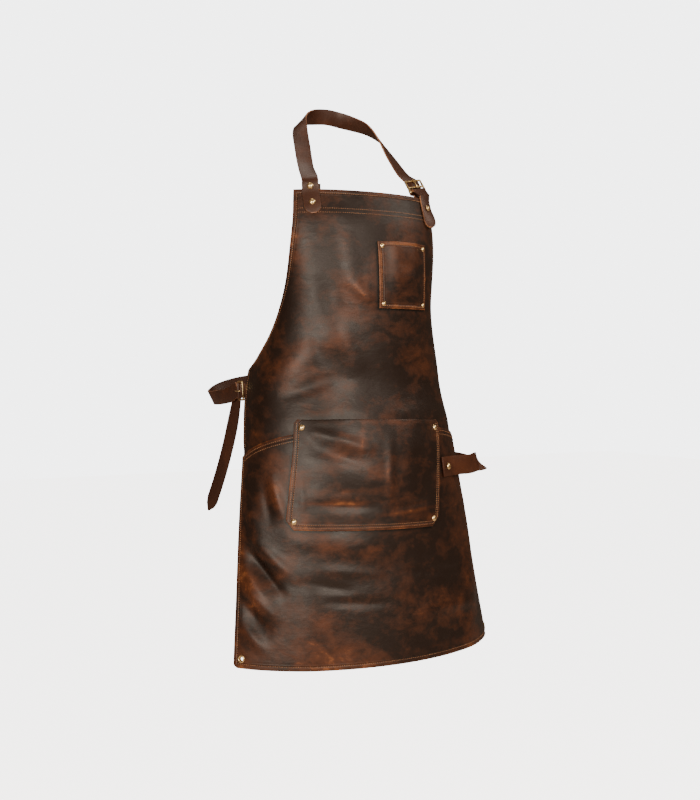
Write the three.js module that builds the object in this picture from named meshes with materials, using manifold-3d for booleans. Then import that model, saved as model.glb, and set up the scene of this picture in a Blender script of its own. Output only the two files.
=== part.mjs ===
// Leather work apron with a bib, a lapped skirt, riveted pockets, a tool loop and straps at neck and waist.
// Millimetres, +Z up, front towards -Y, wearer's left towards +X. The apron hangs as on an upright wearer.
// Everything is worked out with the hem at height 0 and the body's axis at x = 0, y = 0, and the group is
// then moved so that its origin lies where the neck strap rests on the nape.
import * as THREE from 'three';
import { mergeVertices } from 'three/addons/utils/BufferGeometryUtils.js';
import Module from 'manifold-3d';

// Leather and clearances
const PANEL_LEATHER = 2.2;
const STRAP_LEATHER = 3;
const SEAT_GAP = 0.3;
const STRAP_SEAT = 0.7;
const INNER_SEAT = 1.5;
const TUCK_SEAT = 2.6;
const RIVET_PLAY = 0.9;

// Apron panels, laid flat
const APRON_LENGTH = 900;
const WAIST_LEVEL = 554;
const BIB_TOP_HALF_WIDTH = 163;
const WAIST_HALF_WIDTH = 315;
const HEM_HALF_WIDTH = 330;
const CORNER_RADIUS = 14;
const EDGE_TURN = 12;
const TOP_TURN = 42;
const SEAM_LEVEL = 444;
const SEAM_DROP = 59;
const SEAM_LAP = 20;

// Round form that the apron hangs in
const FORM_HALF_WIDTH = 315;
const FORM_DEPTH = 216;
const FORM_FRONT = 208;

// Front pocket
const POCKET_WIDTH = 322;
const POCKET_HEIGHT = 204;
const POCKET_LEVEL = 355;
const POCKET_SHIFT = -38;
const POCKET_LEAN = 33;
const POCKET_TILT = 0.019;
const POCKET_ROOM = 9;
const POCKET_SEAT = 1.1;
const POCKET_SIDE_SEAM = 14;
const POCKET_TOP_CORNER = 7;
const POCKET_FOOT_CORNER = 17;
const POCKET_RIVET_INSET = 15;

// Chest pocket
const CHEST_WIDTH = 124;
const CHEST_HEIGHT = 129;
const CHEST_DROP = 163;
const CHEST_SHIFT = 54;
const CHEST_ROOM = 6;
const CHEST_SIDE_SEAM = 10;
const CHEST_RIVET_INSET = 9;

// Tool loop
const LOOP_WIDTH = 39;
const LOOP_LEVEL = 361;
const LOOP_START = 0.409 * HEM_HALF_WIDTH;
const LOOP_SPAN = 0.545 * HEM_HALF_WIDTH;
const LOOP_STAND = 40;
const LOOP_SEAT = 2.1;
const LOOP_RIVET_INSET = 19;

// Neck strap, its tab and its buckle
const NECK_STRAP_WIDTH = 32;
const NECK_SEAT_RIGHT = -130;
const NECK_SEAT_LEFT = 137;
const NECK_RISE = 181;
const NECK_REACH = 164;
const NECK_END_DROP = 49;
const NECK_RIVET_DROP = 27;
const NECK_RIVET_RISE = 5;
const BACKING_WIDTH = 34;
const BACKING_HEIGHT = 46;
const BACKING_RISE = 10.6;
const BACKING_SHIFT = 3;
const TAB_WIDTH = NECK_STRAP_WIDTH - 2;
const TAB_DROP = 62;
const TAB_RETURN = 2;
const TAB_RIVET_DROP = 23;
const TUCK_DROP = 52;

// Buckles
const BUCKLE_HEIGHT = 30;
const BUCKLE_BAR = 3.6;
const BUCKLE_PLAY = 1.2;
const BAR_REACH = 0.62 * BUCKLE_BAR;
const BUCKLE_CROSSBAR = 0.58;
const TONGUE_THICKNESS = 2.6;

// Waist strap, its tab and its buckle
const WAIST_STRAP_WIDTH = 30;
const WAIST_STRAP_LEVEL = 508;
const WAIST_REACH = 212;
const WAIST_OVERLAP = 34;
const WAIST_BUCKLE_HEIGHT = 24;
const WAIST_BUCKLE_GAP = 8;
const WAIST_BUCKLE_RISE = 4;
const WAIST_RETURN = 12;
const TAIL_LENGTH = 302;
const TAIL_TIP = 26;

// Rivets and eyelets
const SHANK = 4;
const STRAP_RIVET = 12.6;
const POCKET_RIVET = 12;
const CHEST_RIVET = 9.4;
const LOOP_RIVET = 14;
const RIVET_SIDES = 8;
const RIVET_HOLE_DEPTH = 44;
const THIN_HOLE_DEPTH = 14;
const EYELET_HOLE_DEPTH = 30;
const EYELET_OUTER = 14.8;
const EYELET_HOLE = 7.8;
const EYELET_INSET = 17;

// Form of the hung apron from hem to bib top, as shares of the apron's length and of the form's sizes
const FORM_ROWS = [
  { level: 0.000, halfWidth: 0.994, depth: 1.000, front: 1.000 },
  { level: 0.222, halfWidth: 0.841, depth: 0.843, front: 0.913 },
  { level: 0.444, halfWidth: 0.727, depth: 0.727, front: 0.798 },
  { level: 0.600, halfWidth: 0.644, depth: 0.644, front: 0.644 },
  { level: 0.778, halfWidth: 0.533, depth: 0.491, front: 0.649 },
  { level: 0.922, halfWidth: 0.541, depth: 0.407, front: 0.596 },
  { level: 1.000, halfWidth: 0.541, depth: 0.407, front: 0.495 },
];

// Side edge of the bib from the waist corner up: height as a share of the bib, flare as a share of the
// difference between the half widths at the waist and at the top
const BIB_EDGE = [
  { level: 0.000, flare: 1.000 },
  { level: 0.055, flare: 0.830 },
  { level: 0.113, flare: 0.706 },
  { level: 0.168, flare: 0.595 },
  { level: 0.225, flare: 0.507 },
  { level: 0.336, flare: 0.379 },
  { level: 0.497, flare: 0.235 },
  { level: 0.717, flare: 0.124 },
  { level: 1.000, flare: 0.000 },
];

// Side edge of the skirt from the hem up: height as a share of the waist level, drawn in as a share of the
// difference between the half widths at the hem and at the waist
const SKIRT_EDGE = [
  { level: 0.00, drawnIn: 0.00 },
  { level: 0.25, drawnIn: 0.28 },
  { level: 0.65, drawnIn: 0.18 },
  { level: 0.82, drawnIn: 0.30 },
  { level: 0.93, drawnIn: 0.74 },
  { level: 1.00, drawnIn: 1.00 },
];

// Folds and dents: ends as shares of the hem's half width and the apron's length, breadth and rise as shares
// of the apron's length, where a negative rise is a valley
const FOLDS = [
  { fromAcross: -0.96, fromLevel: 0.245, toAcross: -0.74, toLevel: 0.175, breadth: 0.020, rise: -0.0090 },
  { fromAcross: -0.98, fromLevel: 0.205, toAcross: -0.76, toLevel: 0.120, breadth: 0.020, rise: 0.0070 },
  { fromAcross: -1.00, fromLevel: 0.135, toAcross: -0.80, toLevel: 0.070, breadth: 0.018, rise: -0.0070 },
  { fromAcross: -0.92, fromLevel: 0.330, toAcross: -0.78, toLevel: 0.255, breadth: 0.022, rise: 0.0045 },
  { fromAcross: -0.35, fromLevel: 0.185, toAcross: 0.25, toLevel: 0.225, breadth: 0.040, rise: -0.0045 },
  { fromAcross: 0.05, fromLevel: 0.085, toAcross: 0.72, toLevel: 0.140, breadth: 0.036, rise: 0.0050 },
  { fromAcross: 0.60, fromLevel: 0.020, toAcross: 0.70, toLevel: 0.300, breadth: 0.040, rise: 0.0070 },
  { fromAcross: -0.55, fromLevel: 0.000, toAcross: -0.48, toLevel: 0.180, breadth: 0.040, rise: 0.0050 },
  { fromAcross: -0.20, fromLevel: 0.800, toAcross: -0.06, toLevel: 0.762, breadth: 0.014, rise: 0.0040 },
  { fromAcross: -0.42, fromLevel: 0.640, toAcross: 0.10, toLevel: 0.560, breadth: 0.045, rise: -0.0060 },
  { fromAcross: -0.70, fromLevel: 0.585, toAcross: -0.30, toLevel: 0.690, breadth: 0.030, rise: 0.0050 },
];

// Tool loop seen from above: run along the panel, stand off it and sag below its level, as shares of the
// loop's span, stand and width, and the lean of its top edge outwards, in radians
const LOOP_ROWS = [
  { run: 0.00, stand: 0.00, sag: 0.00, lean: 0.0 },
  { run: 0.20, stand: 0.00, sag: 0.00, lean: 0.0 },
  { run: 0.32, stand: 0.22, sag: 0.03, lean: 0.0 },
  { run: 0.46, stand: 0.64, sag: 0.10, lean: 0.0 },
  { run: 0.575, stand: 0.93, sag: 0.08, lean: -0.2 },
  { run: 0.66, stand: 1.10, sag: 0.22, lean: -0.8 },
  { run: 0.76, stand: 1.02, sag: 0.34, lean: -0.9 },
  { run: 0.84, stand: 0.60, sag: 0.24, lean: -0.3 },
  { run: 0.90, stand: 0.21, sag: 0.10, lean: 0.0 },
  { run: 0.93, stand: 0.03, sag: 0.03, lean: 0.0 },
  { run: 1.00, stand: 0.03, sag: 0.00, lean: 0.0 },
];

// Half of the neck strap from the bib to the nape: x as a share of its seat, reach behind the seat and rise
// above the bib's top as shares of the strap's reach and rise, then the way its outer face looks. The middle
// of the buckle has a row of its own.
const BUCKLE_ROW = { x: 0.950, reach: 0.100, rise: 0.150, faceX: -0.02, faceY: -0.88, faceZ: 0.46 };
const NECK_ROWS = [
  { x: 0.885, reach: 0.290, rise: 0.290, faceX: 0.14, faceY: -0.80, faceZ: 0.58 },
  { x: 0.805, reach: 0.490, rise: 0.515, faceX: 0.34, faceY: -0.70, faceZ: 0.62 },
  { x: 0.725, reach: 0.680, rise: 0.745, faceX: 0.62, faceY: -0.38, faceZ: 0.69 },
  { x: 0.605, reach: 0.835, rise: 0.882, faceX: 0.77, faceY: 0.08, faceZ: 0.62 },
  { x: 0.440, reach: 0.940, rise: 0.944, faceX: 0.66, faceY: 0.50, faceZ: 0.56 },
  { x: 0.220, reach: 0.995, rise: 0.985, faceX: 0.32, faceY: 0.90, faceZ: 0.30 },
];

// Neck buckle's tab from its free end up: drop below the bib's top as a share of the end's drop, and how far
// its face is turned off the bib towards the front, in radians
const TAB_ROWS = [
  { drop: 1.00, turn: 0.42 },
  { drop: 0.66, turn: 0.34 },
  { drop: 0.37, turn: 0.18 },
  { drop: 0.00, turn: 0.18 },
  { drop: -0.10, turn: 0.22 },
];

// Waist strap from its sewn end on the wearer's left round the back to the buckle on the right: x as a share
// of the panel's half width there, reach behind the panel's edge, rise above the strap's level as a share
// of the reach, then the way its outer face looks
const WAIST_ROWS = [
  { x: 0.985, reach: 0.020, rise: 0.130, faceX: 1.0, faceY: 0.0, faceZ: 0.0 },
  { x: 1.000, reach: 0.200, rise: 0.130, faceX: 1.0, faceY: 0.1, faceZ: 0.0 },
  { x: 1.000, reach: 0.450, rise: 0.125, faceX: 1.0, faceY: 0.1, faceZ: -0.1 },
  { x: 0.940, reach: 0.760, rise: 0.115, faceX: 0.85, faceY: 0.5, faceZ: -0.1 },
  { x: 0.680, reach: 0.950, rise: 0.105, faceX: 0.4, faceY: 0.9, faceZ: -0.1 },
  { x: 0.300, reach: 1.010, rise: 0.100, faceX: 0.1, faceY: 1.0, faceZ: -0.1 },
  { x: -0.150, reach: 1.015, rise: 0.098, faceX: 0.0, faceY: 1.0, faceZ: -0.1 },
  { x: -0.560, reach: 1.000, rise: 0.080, faceX: -0.05, faceY: 1.0, faceZ: -0.2 },
  { x: -0.850, reach: 0.965, rise: 0.010, faceX: -0.3, faceY: 0.9, faceZ: -0.35 },
  { x: -0.985, reach: 0.860, rise: -0.055, faceX: -0.8, faceY: 0.45, faceZ: -0.45 },
  { x: -1.025, reach: 0.650, rise: -0.060, faceX: -0.96, faceY: 0.05, faceZ: -0.34 },
  { x: -1.020, reach: 0.370, rise: -0.035, faceX: -1.0, faceY: 0.0, faceZ: -0.2 },
  { x: -1.014, reach: 0.280, rise: -0.018, faceX: -1.0, faceY: 0.0, faceZ: -0.1 },
];

// Follows one column of a table smoothly between its rows, without overshooting them
function follow(rows, key, column, at) {
  const last = rows.length - 1;
  const steps = rows.slice(1).map((row, i) => row[key] - rows[i][key]);
  const slopes = rows.slice(1).map((row, i) => (row[column] - rows[i][column]) / steps[i]);
  const bends = rows.map((row, i) => {
    if (i === 0) return slopes[0];
    if (i === last) return slopes[last - 1];
    if (slopes[i - 1] * slopes[i] <= 0) return 0;
    const before = 2 * steps[i] + steps[i - 1];
    const after = steps[i] + 2 * steps[i - 1];
    return (before + after) / (before / slopes[i - 1] + after / slopes[i]);
  });
  let i = 0;
  while (i < last - 1 && at > rows[i + 1][key]) i += 1;
  const t = Math.min(Math.max((at - rows[i][key]) / steps[i], 0), 1);
  const start = rows[i][column] * (1 + 2 * t) * (1 - t) ** 2 + bends[i] * steps[i] * t * (1 - t) ** 2;
  const end = rows[i + 1][column] * t * t * (3 - 2 * t) + bends[i + 1] * steps[i] * t * t * (t - 1);
  return start + end;
}

function smooth(share) {
  const t = Math.min(Math.max(share, 0), 1);
  return t * t * (3 - 2 * t);
}

// Point of a level section: a quarter ellipse on each side of the front, then straight back
function sectionPoint(arc, halfWidth, depth) {
  const steps = 90;
  let walked = 0;
  let x = 0;
  let y = 0;
  for (let i = 1; i <= steps; i += 1) {
    const angle = (i / steps) * (Math.PI / 2);
    const nextX = halfWidth * Math.sin(angle);
    const nextY = depth * (1 - Math.cos(angle));
    const length = Math.hypot(nextX - x, nextY - y);
    if (walked + length >= arc) {
      const share = (arc - walked) / length;
      return [x + share * (nextX - x), y + share * (nextY - y)];
    }
    walked += length;
    x = nextX;
    y = nextY;
  }
  return [halfWidth, depth + arc - walked];
}

// Bare form: across is measured along the leather from the front centre, level is the height above the hem
function bareForm(across, level) {
  const share = level / APRON_LENGTH;
  const halfWidth = FORM_HALF_WIDTH * follow(FORM_ROWS, 'level', 'halfWidth', share);
  const depth = FORM_DEPTH * follow(FORM_ROWS, 'level', 'depth', share);
  const front = FORM_FRONT * follow(FORM_ROWS, 'level', 'front', share);
  const [x, y] = sectionPoint(Math.abs(across), halfWidth, depth);
  return new THREE.Vector3(Math.sign(across) * x, y - front, level);
}

// Share of its rise that a fold loses towards its ends
const FOLD_FADING = 0.6;

function foldRise(across, level) {
  let rise = 0;
  for (const fold of FOLDS) {
    const startX = fold.fromAcross * HEM_HALF_WIDTH;
    const startZ = fold.fromLevel * APRON_LENGTH;
    const runX = fold.toAcross * HEM_HALF_WIDTH - startX;
    const runZ = fold.toLevel * APRON_LENGTH - startZ;
    const along = ((across - startX) * runX + (level - startZ) * runZ) / (runX ** 2 + runZ ** 2);
    const near = Math.min(Math.max(along, 0), 1);
    const distance = Math.hypot(across - startX - near * runX, level - startZ - near * runZ);
    const breadth = fold.breadth * APRON_LENGTH;
    const fading = 1 - FOLD_FADING * (2 * near - 1) ** 2;
    rise += fold.rise * APRON_LENGTH * Math.exp(-((distance / breadth) ** 2)) * fading;
  }
  return rise;
}

// Place on the hung apron: its outer face at stand 0, with the way out of the leather
function onForm(across, level, stand = 0, folded = true) {
  const reach = 3;
  const side = bareForm(across + reach, level).sub(bareForm(across - reach, level));
  const rise = bareForm(across, level + reach).sub(bareForm(across, level - reach));
  const face = side.clone().cross(rise).normalize();
  const point = bareForm(across, level).addScaledVector(face, stand + (folded ? foldRise(across, level) : 0));
  return { point, face, side: side.normalize(), rise: rise.normalize() };
}

// Half width of the flat panels at a level
function halfWidthAt(level) {
  if (level >= WAIST_LEVEL) {
    const share = (level - WAIST_LEVEL) / (APRON_LENGTH - WAIST_LEVEL);
    const flare = follow(BIB_EDGE, 'level', 'flare', share);
    return BIB_TOP_HALF_WIDTH + (WAIST_HALF_WIDTH - BIB_TOP_HALF_WIDTH) * flare;
  }
  const drawn = follow(SKIRT_EDGE, 'level', 'drawnIn', level / WAIST_LEVEL);
  const straight = HEM_HALF_WIDTH - (HEM_HALF_WIDTH - WAIST_HALF_WIDTH) * drawn;
  const below = Math.max(CORNER_RADIUS - level, 0);
  return straight - CORNER_RADIUS + Math.sqrt(CORNER_RADIUS ** 2 - below ** 2);
}

// Height of the skirt's top edge, for a share of the half width
function seamLevel(share) {
  return SEAM_LEVEL - SEAM_DROP * Math.abs(share) ** 3;
}

// A closed body from a list of corners and faces, turned so that its faces point out
function closedBody(points, faces) {
  let volume = 0;
  for (const [a, b, c] of faces) {
    volume += points[a].dot(points[b].clone().cross(points[c]));
  }
  const turned = volume < 0 ? faces.map(([a, b, c]) => [a, c, b]) : faces;
  const geometry = new THREE.BufferGeometry().setFromPoints(points);
  geometry.setIndex(turned.flat());
  geometry.computeVertexNormals();
  return geometry;
}

// A wall of leather from its outer and inner faces over shares across and up
function leatherSheet(acrossShares, upShares, outer, inner) {
  const columns = acrossShares.length;
  const rows = upShares.length;
  const points = [];
  for (const surface of [outer, inner]) {
    for (const up of upShares) {
      for (const across of acrossShares) {
        points.push(surface(across, up));
      }
    }
  }
  const back = columns * rows;
  const at = (i, j) => j * columns + i;
  const faces = [];
  const quad = (a, b, c, d) => faces.push([a, b, c], [a, c, d]);
  for (let j = 0; j < rows - 1; j += 1) {
    for (let i = 0; i < columns - 1; i += 1) {
      quad(at(i, j), at(i + 1, j), at(i + 1, j + 1), at(i, j + 1));
      quad(back + at(i, j), back + at(i, j + 1), back + at(i + 1, j + 1), back + at(i + 1, j));
    }
  }
  for (let i = 0; i < columns - 1; i += 1) {
    quad(at(i, 0), back + at(i, 0), back + at(i + 1, 0), at(i + 1, 0));
    quad(at(i, rows - 1), at(i + 1, rows - 1), back + at(i + 1, rows - 1), back + at(i, rows - 1));
  }
  for (let j = 0; j < rows - 1; j += 1) {
    quad(at(0, j), at(0, j + 1), back + at(0, j + 1), back + at(0, j));
    const side = at(columns - 1, j);
    quad(side, back + side, back + side + columns, side + columns);
  }
  return closedBody(points, faces);
}

// A flat strap along stations, each with its middle, its outer face and its width
function strapBody(stations, thickness) {
  const points = [];
  stations.forEach(({ middle, face, width }, i) => {
    const before = stations[Math.max(i - 1, 0)].middle;
    const after = stations[Math.min(i + 1, stations.length - 1)].middle;
    const along = after.clone().sub(before).normalize();
    const out = face.clone().addScaledVector(along, -face.dot(along)).normalize();
    const across = along.clone().cross(out);
    for (const [w, t] of [[-1, -1], [1, -1], [1, 1], [-1, 1]]) {
      points.push(middle.clone()
        .addScaledVector(across, w * width / 2)
        .addScaledVector(out, t * thickness / 2));
    }
  });
  const faces = [];
  const last = (stations.length - 1) * 4;
  for (let base = 0; base < last; base += 4) {
    for (let k = 0; k < 4; k += 1) {
      const next = (k + 1) % 4;
      faces.push([base + k, base + next, base + 4 + next], [base + k, base + 4 + next, base + 4 + k]);
    }
  }
  faces.push([0, 2, 1], [0, 3, 2], [last, last + 1, last + 2], [last, last + 2, last + 3]);
  return closedBody(points, faces);
}

// Width of a strap near its rounded end, blunt at the very tip, and where along it the rounding has stations
const ROUND_TIP = 0.3;
const ROUND_STOPS = [0.04, 0.1, 0.18, 0.42];

function roundedWidth(width, fromEnd) {
  const radius = width / 2;
  const short = Math.max(radius - fromEnd, 0);
  return Math.max(2 * Math.sqrt(radius ** 2 - short ** 2), width * ROUND_TIP);
}

// Even stations along a smooth curve through chosen places. A rounded end has more of them, and narrows.
function stationsAlong(places, count, width, rounded = false) {
  const curve = new THREE.CatmullRomCurve3(places.map((place) => place.middle), false, 'centripetal');
  const length = curve.getLength();
  const stops = Array.from({ length: count + 1 }, (_, i) => length * i / count);
  if (rounded) stops.push(...ROUND_STOPS.map((share) => share * width));
  return stops.sort((a, b) => a - b).map((at) => {
    const t = curve.getUtoTmapping(at / length);
    const spot = t * (places.length - 1);
    const index = Math.min(Math.floor(spot), places.length - 2);
    const face = places[index].face.clone().lerp(places[index + 1].face, spot - index).normalize();
    return { middle: curve.getPoint(t), face, width: rounded ? roundedWidth(width, at) : width };
  });
}

// Cutting and joining
const wasm = await Module();
wasm.setup();

function toSolid(geometry) {
  const bare = geometry.clone();
  bare.deleteAttribute('normal');
  bare.deleteAttribute('uv');
  const merged = mergeVertices(bare, 1e-4);
  return new wasm.Manifold(new wasm.Mesh({
    numProp: 3,
    vertProperties: new Float32Array(merged.attributes.position.array),
    triVerts: new Uint32Array(merged.index.array),
  }));
}

function toGeometry(solid) {
  const mesh = solid.getMesh();
  const geometry = new THREE.BufferGeometry();
  geometry.setAttribute('position', new THREE.BufferAttribute(mesh.vertProperties, 3));
  geometry.setIndex(new THREE.BufferAttribute(mesh.triVerts, 1));
  geometry.computeVertexNormals();
  return geometry;
}

// Turns a shape made round +Y so that +Y follows the given way, and moves it to its place
function placed(geometry, point, way) {
  const turn = new THREE.Quaternion().setFromUnitVectors(new THREE.Vector3(0, 1, 0), way);
  return geometry.applyQuaternion(turn).translate(point.x, point.y, point.z);
}

function drilled(geometry, holes) {
  let solid = toSolid(geometry);
  for (const { point, face, radius, depth } of holes) {
    const bit = placed(new THREE.CylinderGeometry(radius, radius, depth, RIVET_SIDES), point, face);
    solid = solid.subtract(toSolid(bit));
  }
  return toGeometry(solid);
}

// Shares across a panel, closer together where it rounds the sides, with a column where each turned edge ends
function turnedShares(count, turn) {
  const shares = [-1];
  for (let i = 0; i <= count; i += 1) {
    const even = 2 * i / count - 1;
    shares.push((1 - turn) * even * (1.25 - 0.25 * even ** 2));
  }
  shares.push(1);
  return shares;
}

// Bib, from its turned top down to the margin that lies behind the skirt's top edge
const PANEL_COLUMNS = 20;
const LAP_ROWS = 3;
const BIB_ROWS = 11;
const SKIRT_ROWS = 12;
const TURN_SHARE = EDGE_TURN / HEM_HALF_WIDTH;
const LAP_GAP = 0.8;

function bibStand(share, level) {
  const easing = 34;
  const above = level - seamLevel(share) - LAP_GAP;
  return -(PANEL_LEATHER + LAP_GAP) * smooth(1 - above / easing);
}

function bibPanel() {
  const shares = turnedShares(PANEL_COLUMNS, TURN_SHARE);
  const topTurn = APRON_LENGTH - TOP_TURN;
  const levels = [(share) => seamLevel(share) - SEAM_LAP];
  for (let j = 0; j <= LAP_ROWS; j += 1) {
    levels.push((share) => {
      const seam = seamLevel(share) + LAP_GAP;
      return seam + (WAIST_LEVEL - seam) * (j / LAP_ROWS);
    });
  }
  for (let j = 1; j <= BIB_ROWS; j += 1) {
    levels.push(() => WAIST_LEVEL + (topTurn - WAIST_LEVEL) * (j / BIB_ROWS));
  }
  levels.push(() => topTurn + 2, () => APRON_LENGTH);
  const folded = levels.length - 2;
  const place = (share, row, depth) => {
    const level = levels[row](share);
    return onForm(share * halfWidthAt(level), level, bibStand(share, level) - depth).point;
  };
  const layers = (share, row) => (row >= folded || Math.abs(share) > 1 - TURN_SHARE / 2 ? 2 : 1);
  const rows = levels.map((level, row) => row);
  const inner = (share, row) => place(share, row, layers(share, row) * PANEL_LEATHER);
  return leatherSheet(shares, rows, (share, row) => place(share, row, 0), inner);
}

// Skirt, lapped over the bib, with turned sides and hem
function skirtPanel() {
  const shares = turnedShares(PANEL_COLUMNS, TURN_SHARE);
  const hem = [0, CORNER_RADIUS * 0.25, CORNER_RADIUS].map((height) => height / SEAM_LEVEL);
  const lapFoot = 1 - (SEAM_LAP + 8) / SEAM_LEVEL;
  const ups = [...hem];
  for (let j = 1; j <= SKIRT_ROWS; j += 1) {
    ups.push(hem[2] + (lapFoot - 0.02 - hem[2]) * (j / SKIRT_ROWS));
  }
  ups.push(lapFoot, 1);
  const place = (share, up, depth) => {
    const level = up * seamLevel(share);
    return onForm(share * halfWidthAt(level), level, -depth).point;
  };
  const thickness = (share, up) => {
    const turned = up < hem[1] * 1.5 || (Math.abs(share) > 1 - TURN_SHARE / 2 && up < lapFoot - 0.01);
    return (turned ? 2 : 1) * PANEL_LEATHER;
  };
  return leatherSheet(shares, ups, (s, u) => place(s, u, 0), (s, u) => place(s, u, thickness(s, u)));
}

// Pockets: a wall that stands off the panel between its stitched sides and foot and is open above
function pocketPlace(pocket, share, up) {
  const fromFoot = up * pocket.height;
  const fromTop = (1 - up) * pocket.height;
  const cut = Math.max(pocket.footCorner - fromFoot, 0) + Math.max(pocket.topCorner - fromTop, 0);
  const across = share * (pocket.width / 2 - cut);
  return {
    across: pocket.shift + pocket.lean * (up - 0.5) + across,
    level: pocket.level + (up - 0.5) * pocket.height - pocket.tilt * across,
  };
}

function pocketStand(pocket, share, up) {
  const seam = pocket.sideSeam / (pocket.width / 2);
  const fromSide = smooth((1 - seam - Math.abs(share)) / 0.55);
  const fromFoot = smooth((up - pocket.sideSeam / pocket.height) / 0.5);
  return pocket.seat + pocket.room * fromSide * fromFoot * (0.75 + 0.25 * up);
}

function pocketBody(pocket) {
  const seam = pocket.sideSeam / (pocket.width / 2);
  const shares = [-1];
  for (let i = 0; i <= pocket.columns; i += 1) shares.push((1 - seam) * (2 * i / pocket.columns - 1));
  shares.push(1);
  const ups = [0];
  if (pocket.footCorner > 0) ups.push(pocket.footCorner / pocket.height);
  const topCut = 1 - pocket.topCorner / pocket.height;
  const low = ups[ups.length - 1];
  for (let j = 1; j <= pocket.rows; j += 1) ups.push(low + (topCut - low) * j / pocket.rows);
  if (pocket.topCorner > 0) ups.push(1);
  const place = (share, up, extra) => {
    const { across, level } = pocketPlace(pocket, share, up);
    return onForm(across, level, pocketStand(pocket, share, up) + extra).point;
  };
  return leatherSheet(shares, ups, (s, u) => place(s, u, PANEL_LEATHER), (s, u) => place(s, u, 0));
}

const frontPocket = {
  width: POCKET_WIDTH,
  height: POCKET_HEIGHT,
  level: POCKET_LEVEL,
  shift: POCKET_SHIFT,
  lean: POCKET_LEAN,
  tilt: POCKET_TILT,
  room: POCKET_ROOM,
  seat: POCKET_SEAT,
  sideSeam: POCKET_SIDE_SEAM,
  topCorner: POCKET_TOP_CORNER,
  footCorner: POCKET_FOOT_CORNER,
  columns: 12,
  rows: 7,
};

const chestPocket = {
  width: CHEST_WIDTH,
  height: CHEST_HEIGHT,
  level: APRON_LENGTH - CHEST_DROP,
  shift: CHEST_SHIFT,
  lean: 0,
  tilt: 0,
  room: CHEST_ROOM,
  seat: POCKET_SEAT,
  sideSeam: CHEST_SIDE_SEAM,
  topCorner: 0,
  footCorner: 0,
  columns: 6,
  rows: 5,
};

// Tool loop: a strip riveted down at its front end, standing off the skirt and coming back to it behind
function toolLoop() {
  const places = LOOP_ROWS.map(({ run, stand, sag, lean }) => {
    const seat = LOOP_SEAT + STRAP_LEATHER / 2;
    const across = LOOP_START + run * LOOP_SPAN;
    const { point, face, rise } = onForm(across, LOOP_LEVEL, seat + stand * LOOP_STAND);
    const up = rise.clone().lerp(new THREE.Vector3(0, 0, 1), Math.min(stand * 2, 1));
    point.addScaledVector(up, -sag * LOOP_WIDTH);
    return { middle: point, up: up.multiplyScalar(Math.cos(lean)).addScaledVector(face, Math.sin(lean)) };
  });
  const curve = new THREE.CatmullRomCurve3(places.map((place) => place.middle), false, 'centripetal');
  const stations = [];
  const count = 34;
  for (let i = 0; i <= count; i += 1) {
    const t = curve.getUtoTmapping(i / count);
    const spot = Math.min(t * (places.length - 1), places.length - 1.001);
    const index = Math.floor(spot);
    const up = places[index].up.clone().lerp(places[index + 1].up, spot - index);
    const face = curve.getTangent(t).cross(up).normalize();
    stations.push({ middle: curve.getPoint(t), face, width: LOOP_WIDTH });
  }
  return strapBody(stations, STRAP_LEATHER);
}

// Neck strap, from its riveted end on the wearer's right over the nape to the buckle on the left
const neckSeats = [NECK_SEAT_RIGHT, NECK_SEAT_LEFT].map((across) => bareForm(across, APRON_LENGTH));

function neckPlace(row, side) {
  const seat = neckSeats[side < 0 ? 0 : 1];
  return {
    middle: new THREE.Vector3(
      row.x * seat.x,
      seat.y + row.reach * NECK_REACH,
      APRON_LENGTH + row.rise * NECK_RISE,
    ),
    face: new THREE.Vector3(side * row.faceX, row.faceY, row.faceZ).normalize(),
  };
}

const nape = {
  middle: new THREE.Vector3(0, (neckSeats[0].y + neckSeats[1].y) / 2 + NECK_REACH, APRON_LENGTH + NECK_RISE),
  face: new THREE.Vector3(0, 1, 0.15).normalize(),
};

// The buckle's frame stands in line with its tab, steeper than the strap above it
const { middle: buckleCentre, face: buckleFace } = neckPlace(BUCKLE_ROW, 1);
const buckleSlope = buckleCentre.clone().sub(neckSeats[1]).normalize();
buckleFace.addScaledVector(buckleSlope, -buckleFace.dot(buckleSlope)).normalize();

function neckStrap() {
  const onBib = (drop) => {
    const stand = STRAP_SEAT + STRAP_LEATHER / 2;
    const { point, face } = onForm(NECK_SEAT_RIGHT, APRON_LENGTH - drop, stand, false);
    return { middle: point, face };
  };
  const tucked = (drop, depth) => {
    const { point, face } = onForm(NECK_SEAT_LEFT, APRON_LENGTH - drop, -depth, false);
    return { middle: point, face };
  };
  const under = BUCKLE_BAR / 2 + SEAT_GAP * 2 + STRAP_LEATHER / 2;
  const behindFrame = (along, depth) => ({
    middle: buckleCentre.clone().addScaledVector(buckleSlope, along).addScaledVector(buckleFace, -depth),
    face: buckleFace.clone(),
  });
  const behindTab = BAR_REACH + SEAT_GAP * 3 + STRAP_LEATHER * 1.5;
  const tuckDepth = 2 * PANEL_LEATHER + TUCK_SEAT + STRAP_LEATHER / 2;
  const places = [
    onBib(NECK_END_DROP),
    onBib(NECK_RIVET_DROP),
    onBib(0),
    onBib(-BACKING_RISE / 2),
    onBib(-BACKING_RISE * 1.5),
    ...NECK_ROWS.map((row) => neckPlace(row, -1)),
    nape,
    ...NECK_ROWS.map((row) => neckPlace(row, 1)).reverse(),
    behindFrame(BUCKLE_HEIGHT * 0.5, under),
    behindFrame(BUCKLE_HEIGHT * 0.1, under + SEAT_GAP),
    behindFrame(-BUCKLE_HEIGHT * 0.36, behindTab),
    behindFrame(-BUCKLE_HEIGHT * 0.58, behindTab + SEAT_GAP * 4),
    tucked(0, tuckDepth + SEAT_GAP * 2),
    tucked(TUCK_DROP * 0.35, tuckDepth),
    tucked(TUCK_DROP, tuckDepth),
  ];
  return strapBody(stationsAlong(places, 76, NECK_STRAP_WIDTH, true), STRAP_LEATHER);
}

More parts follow.
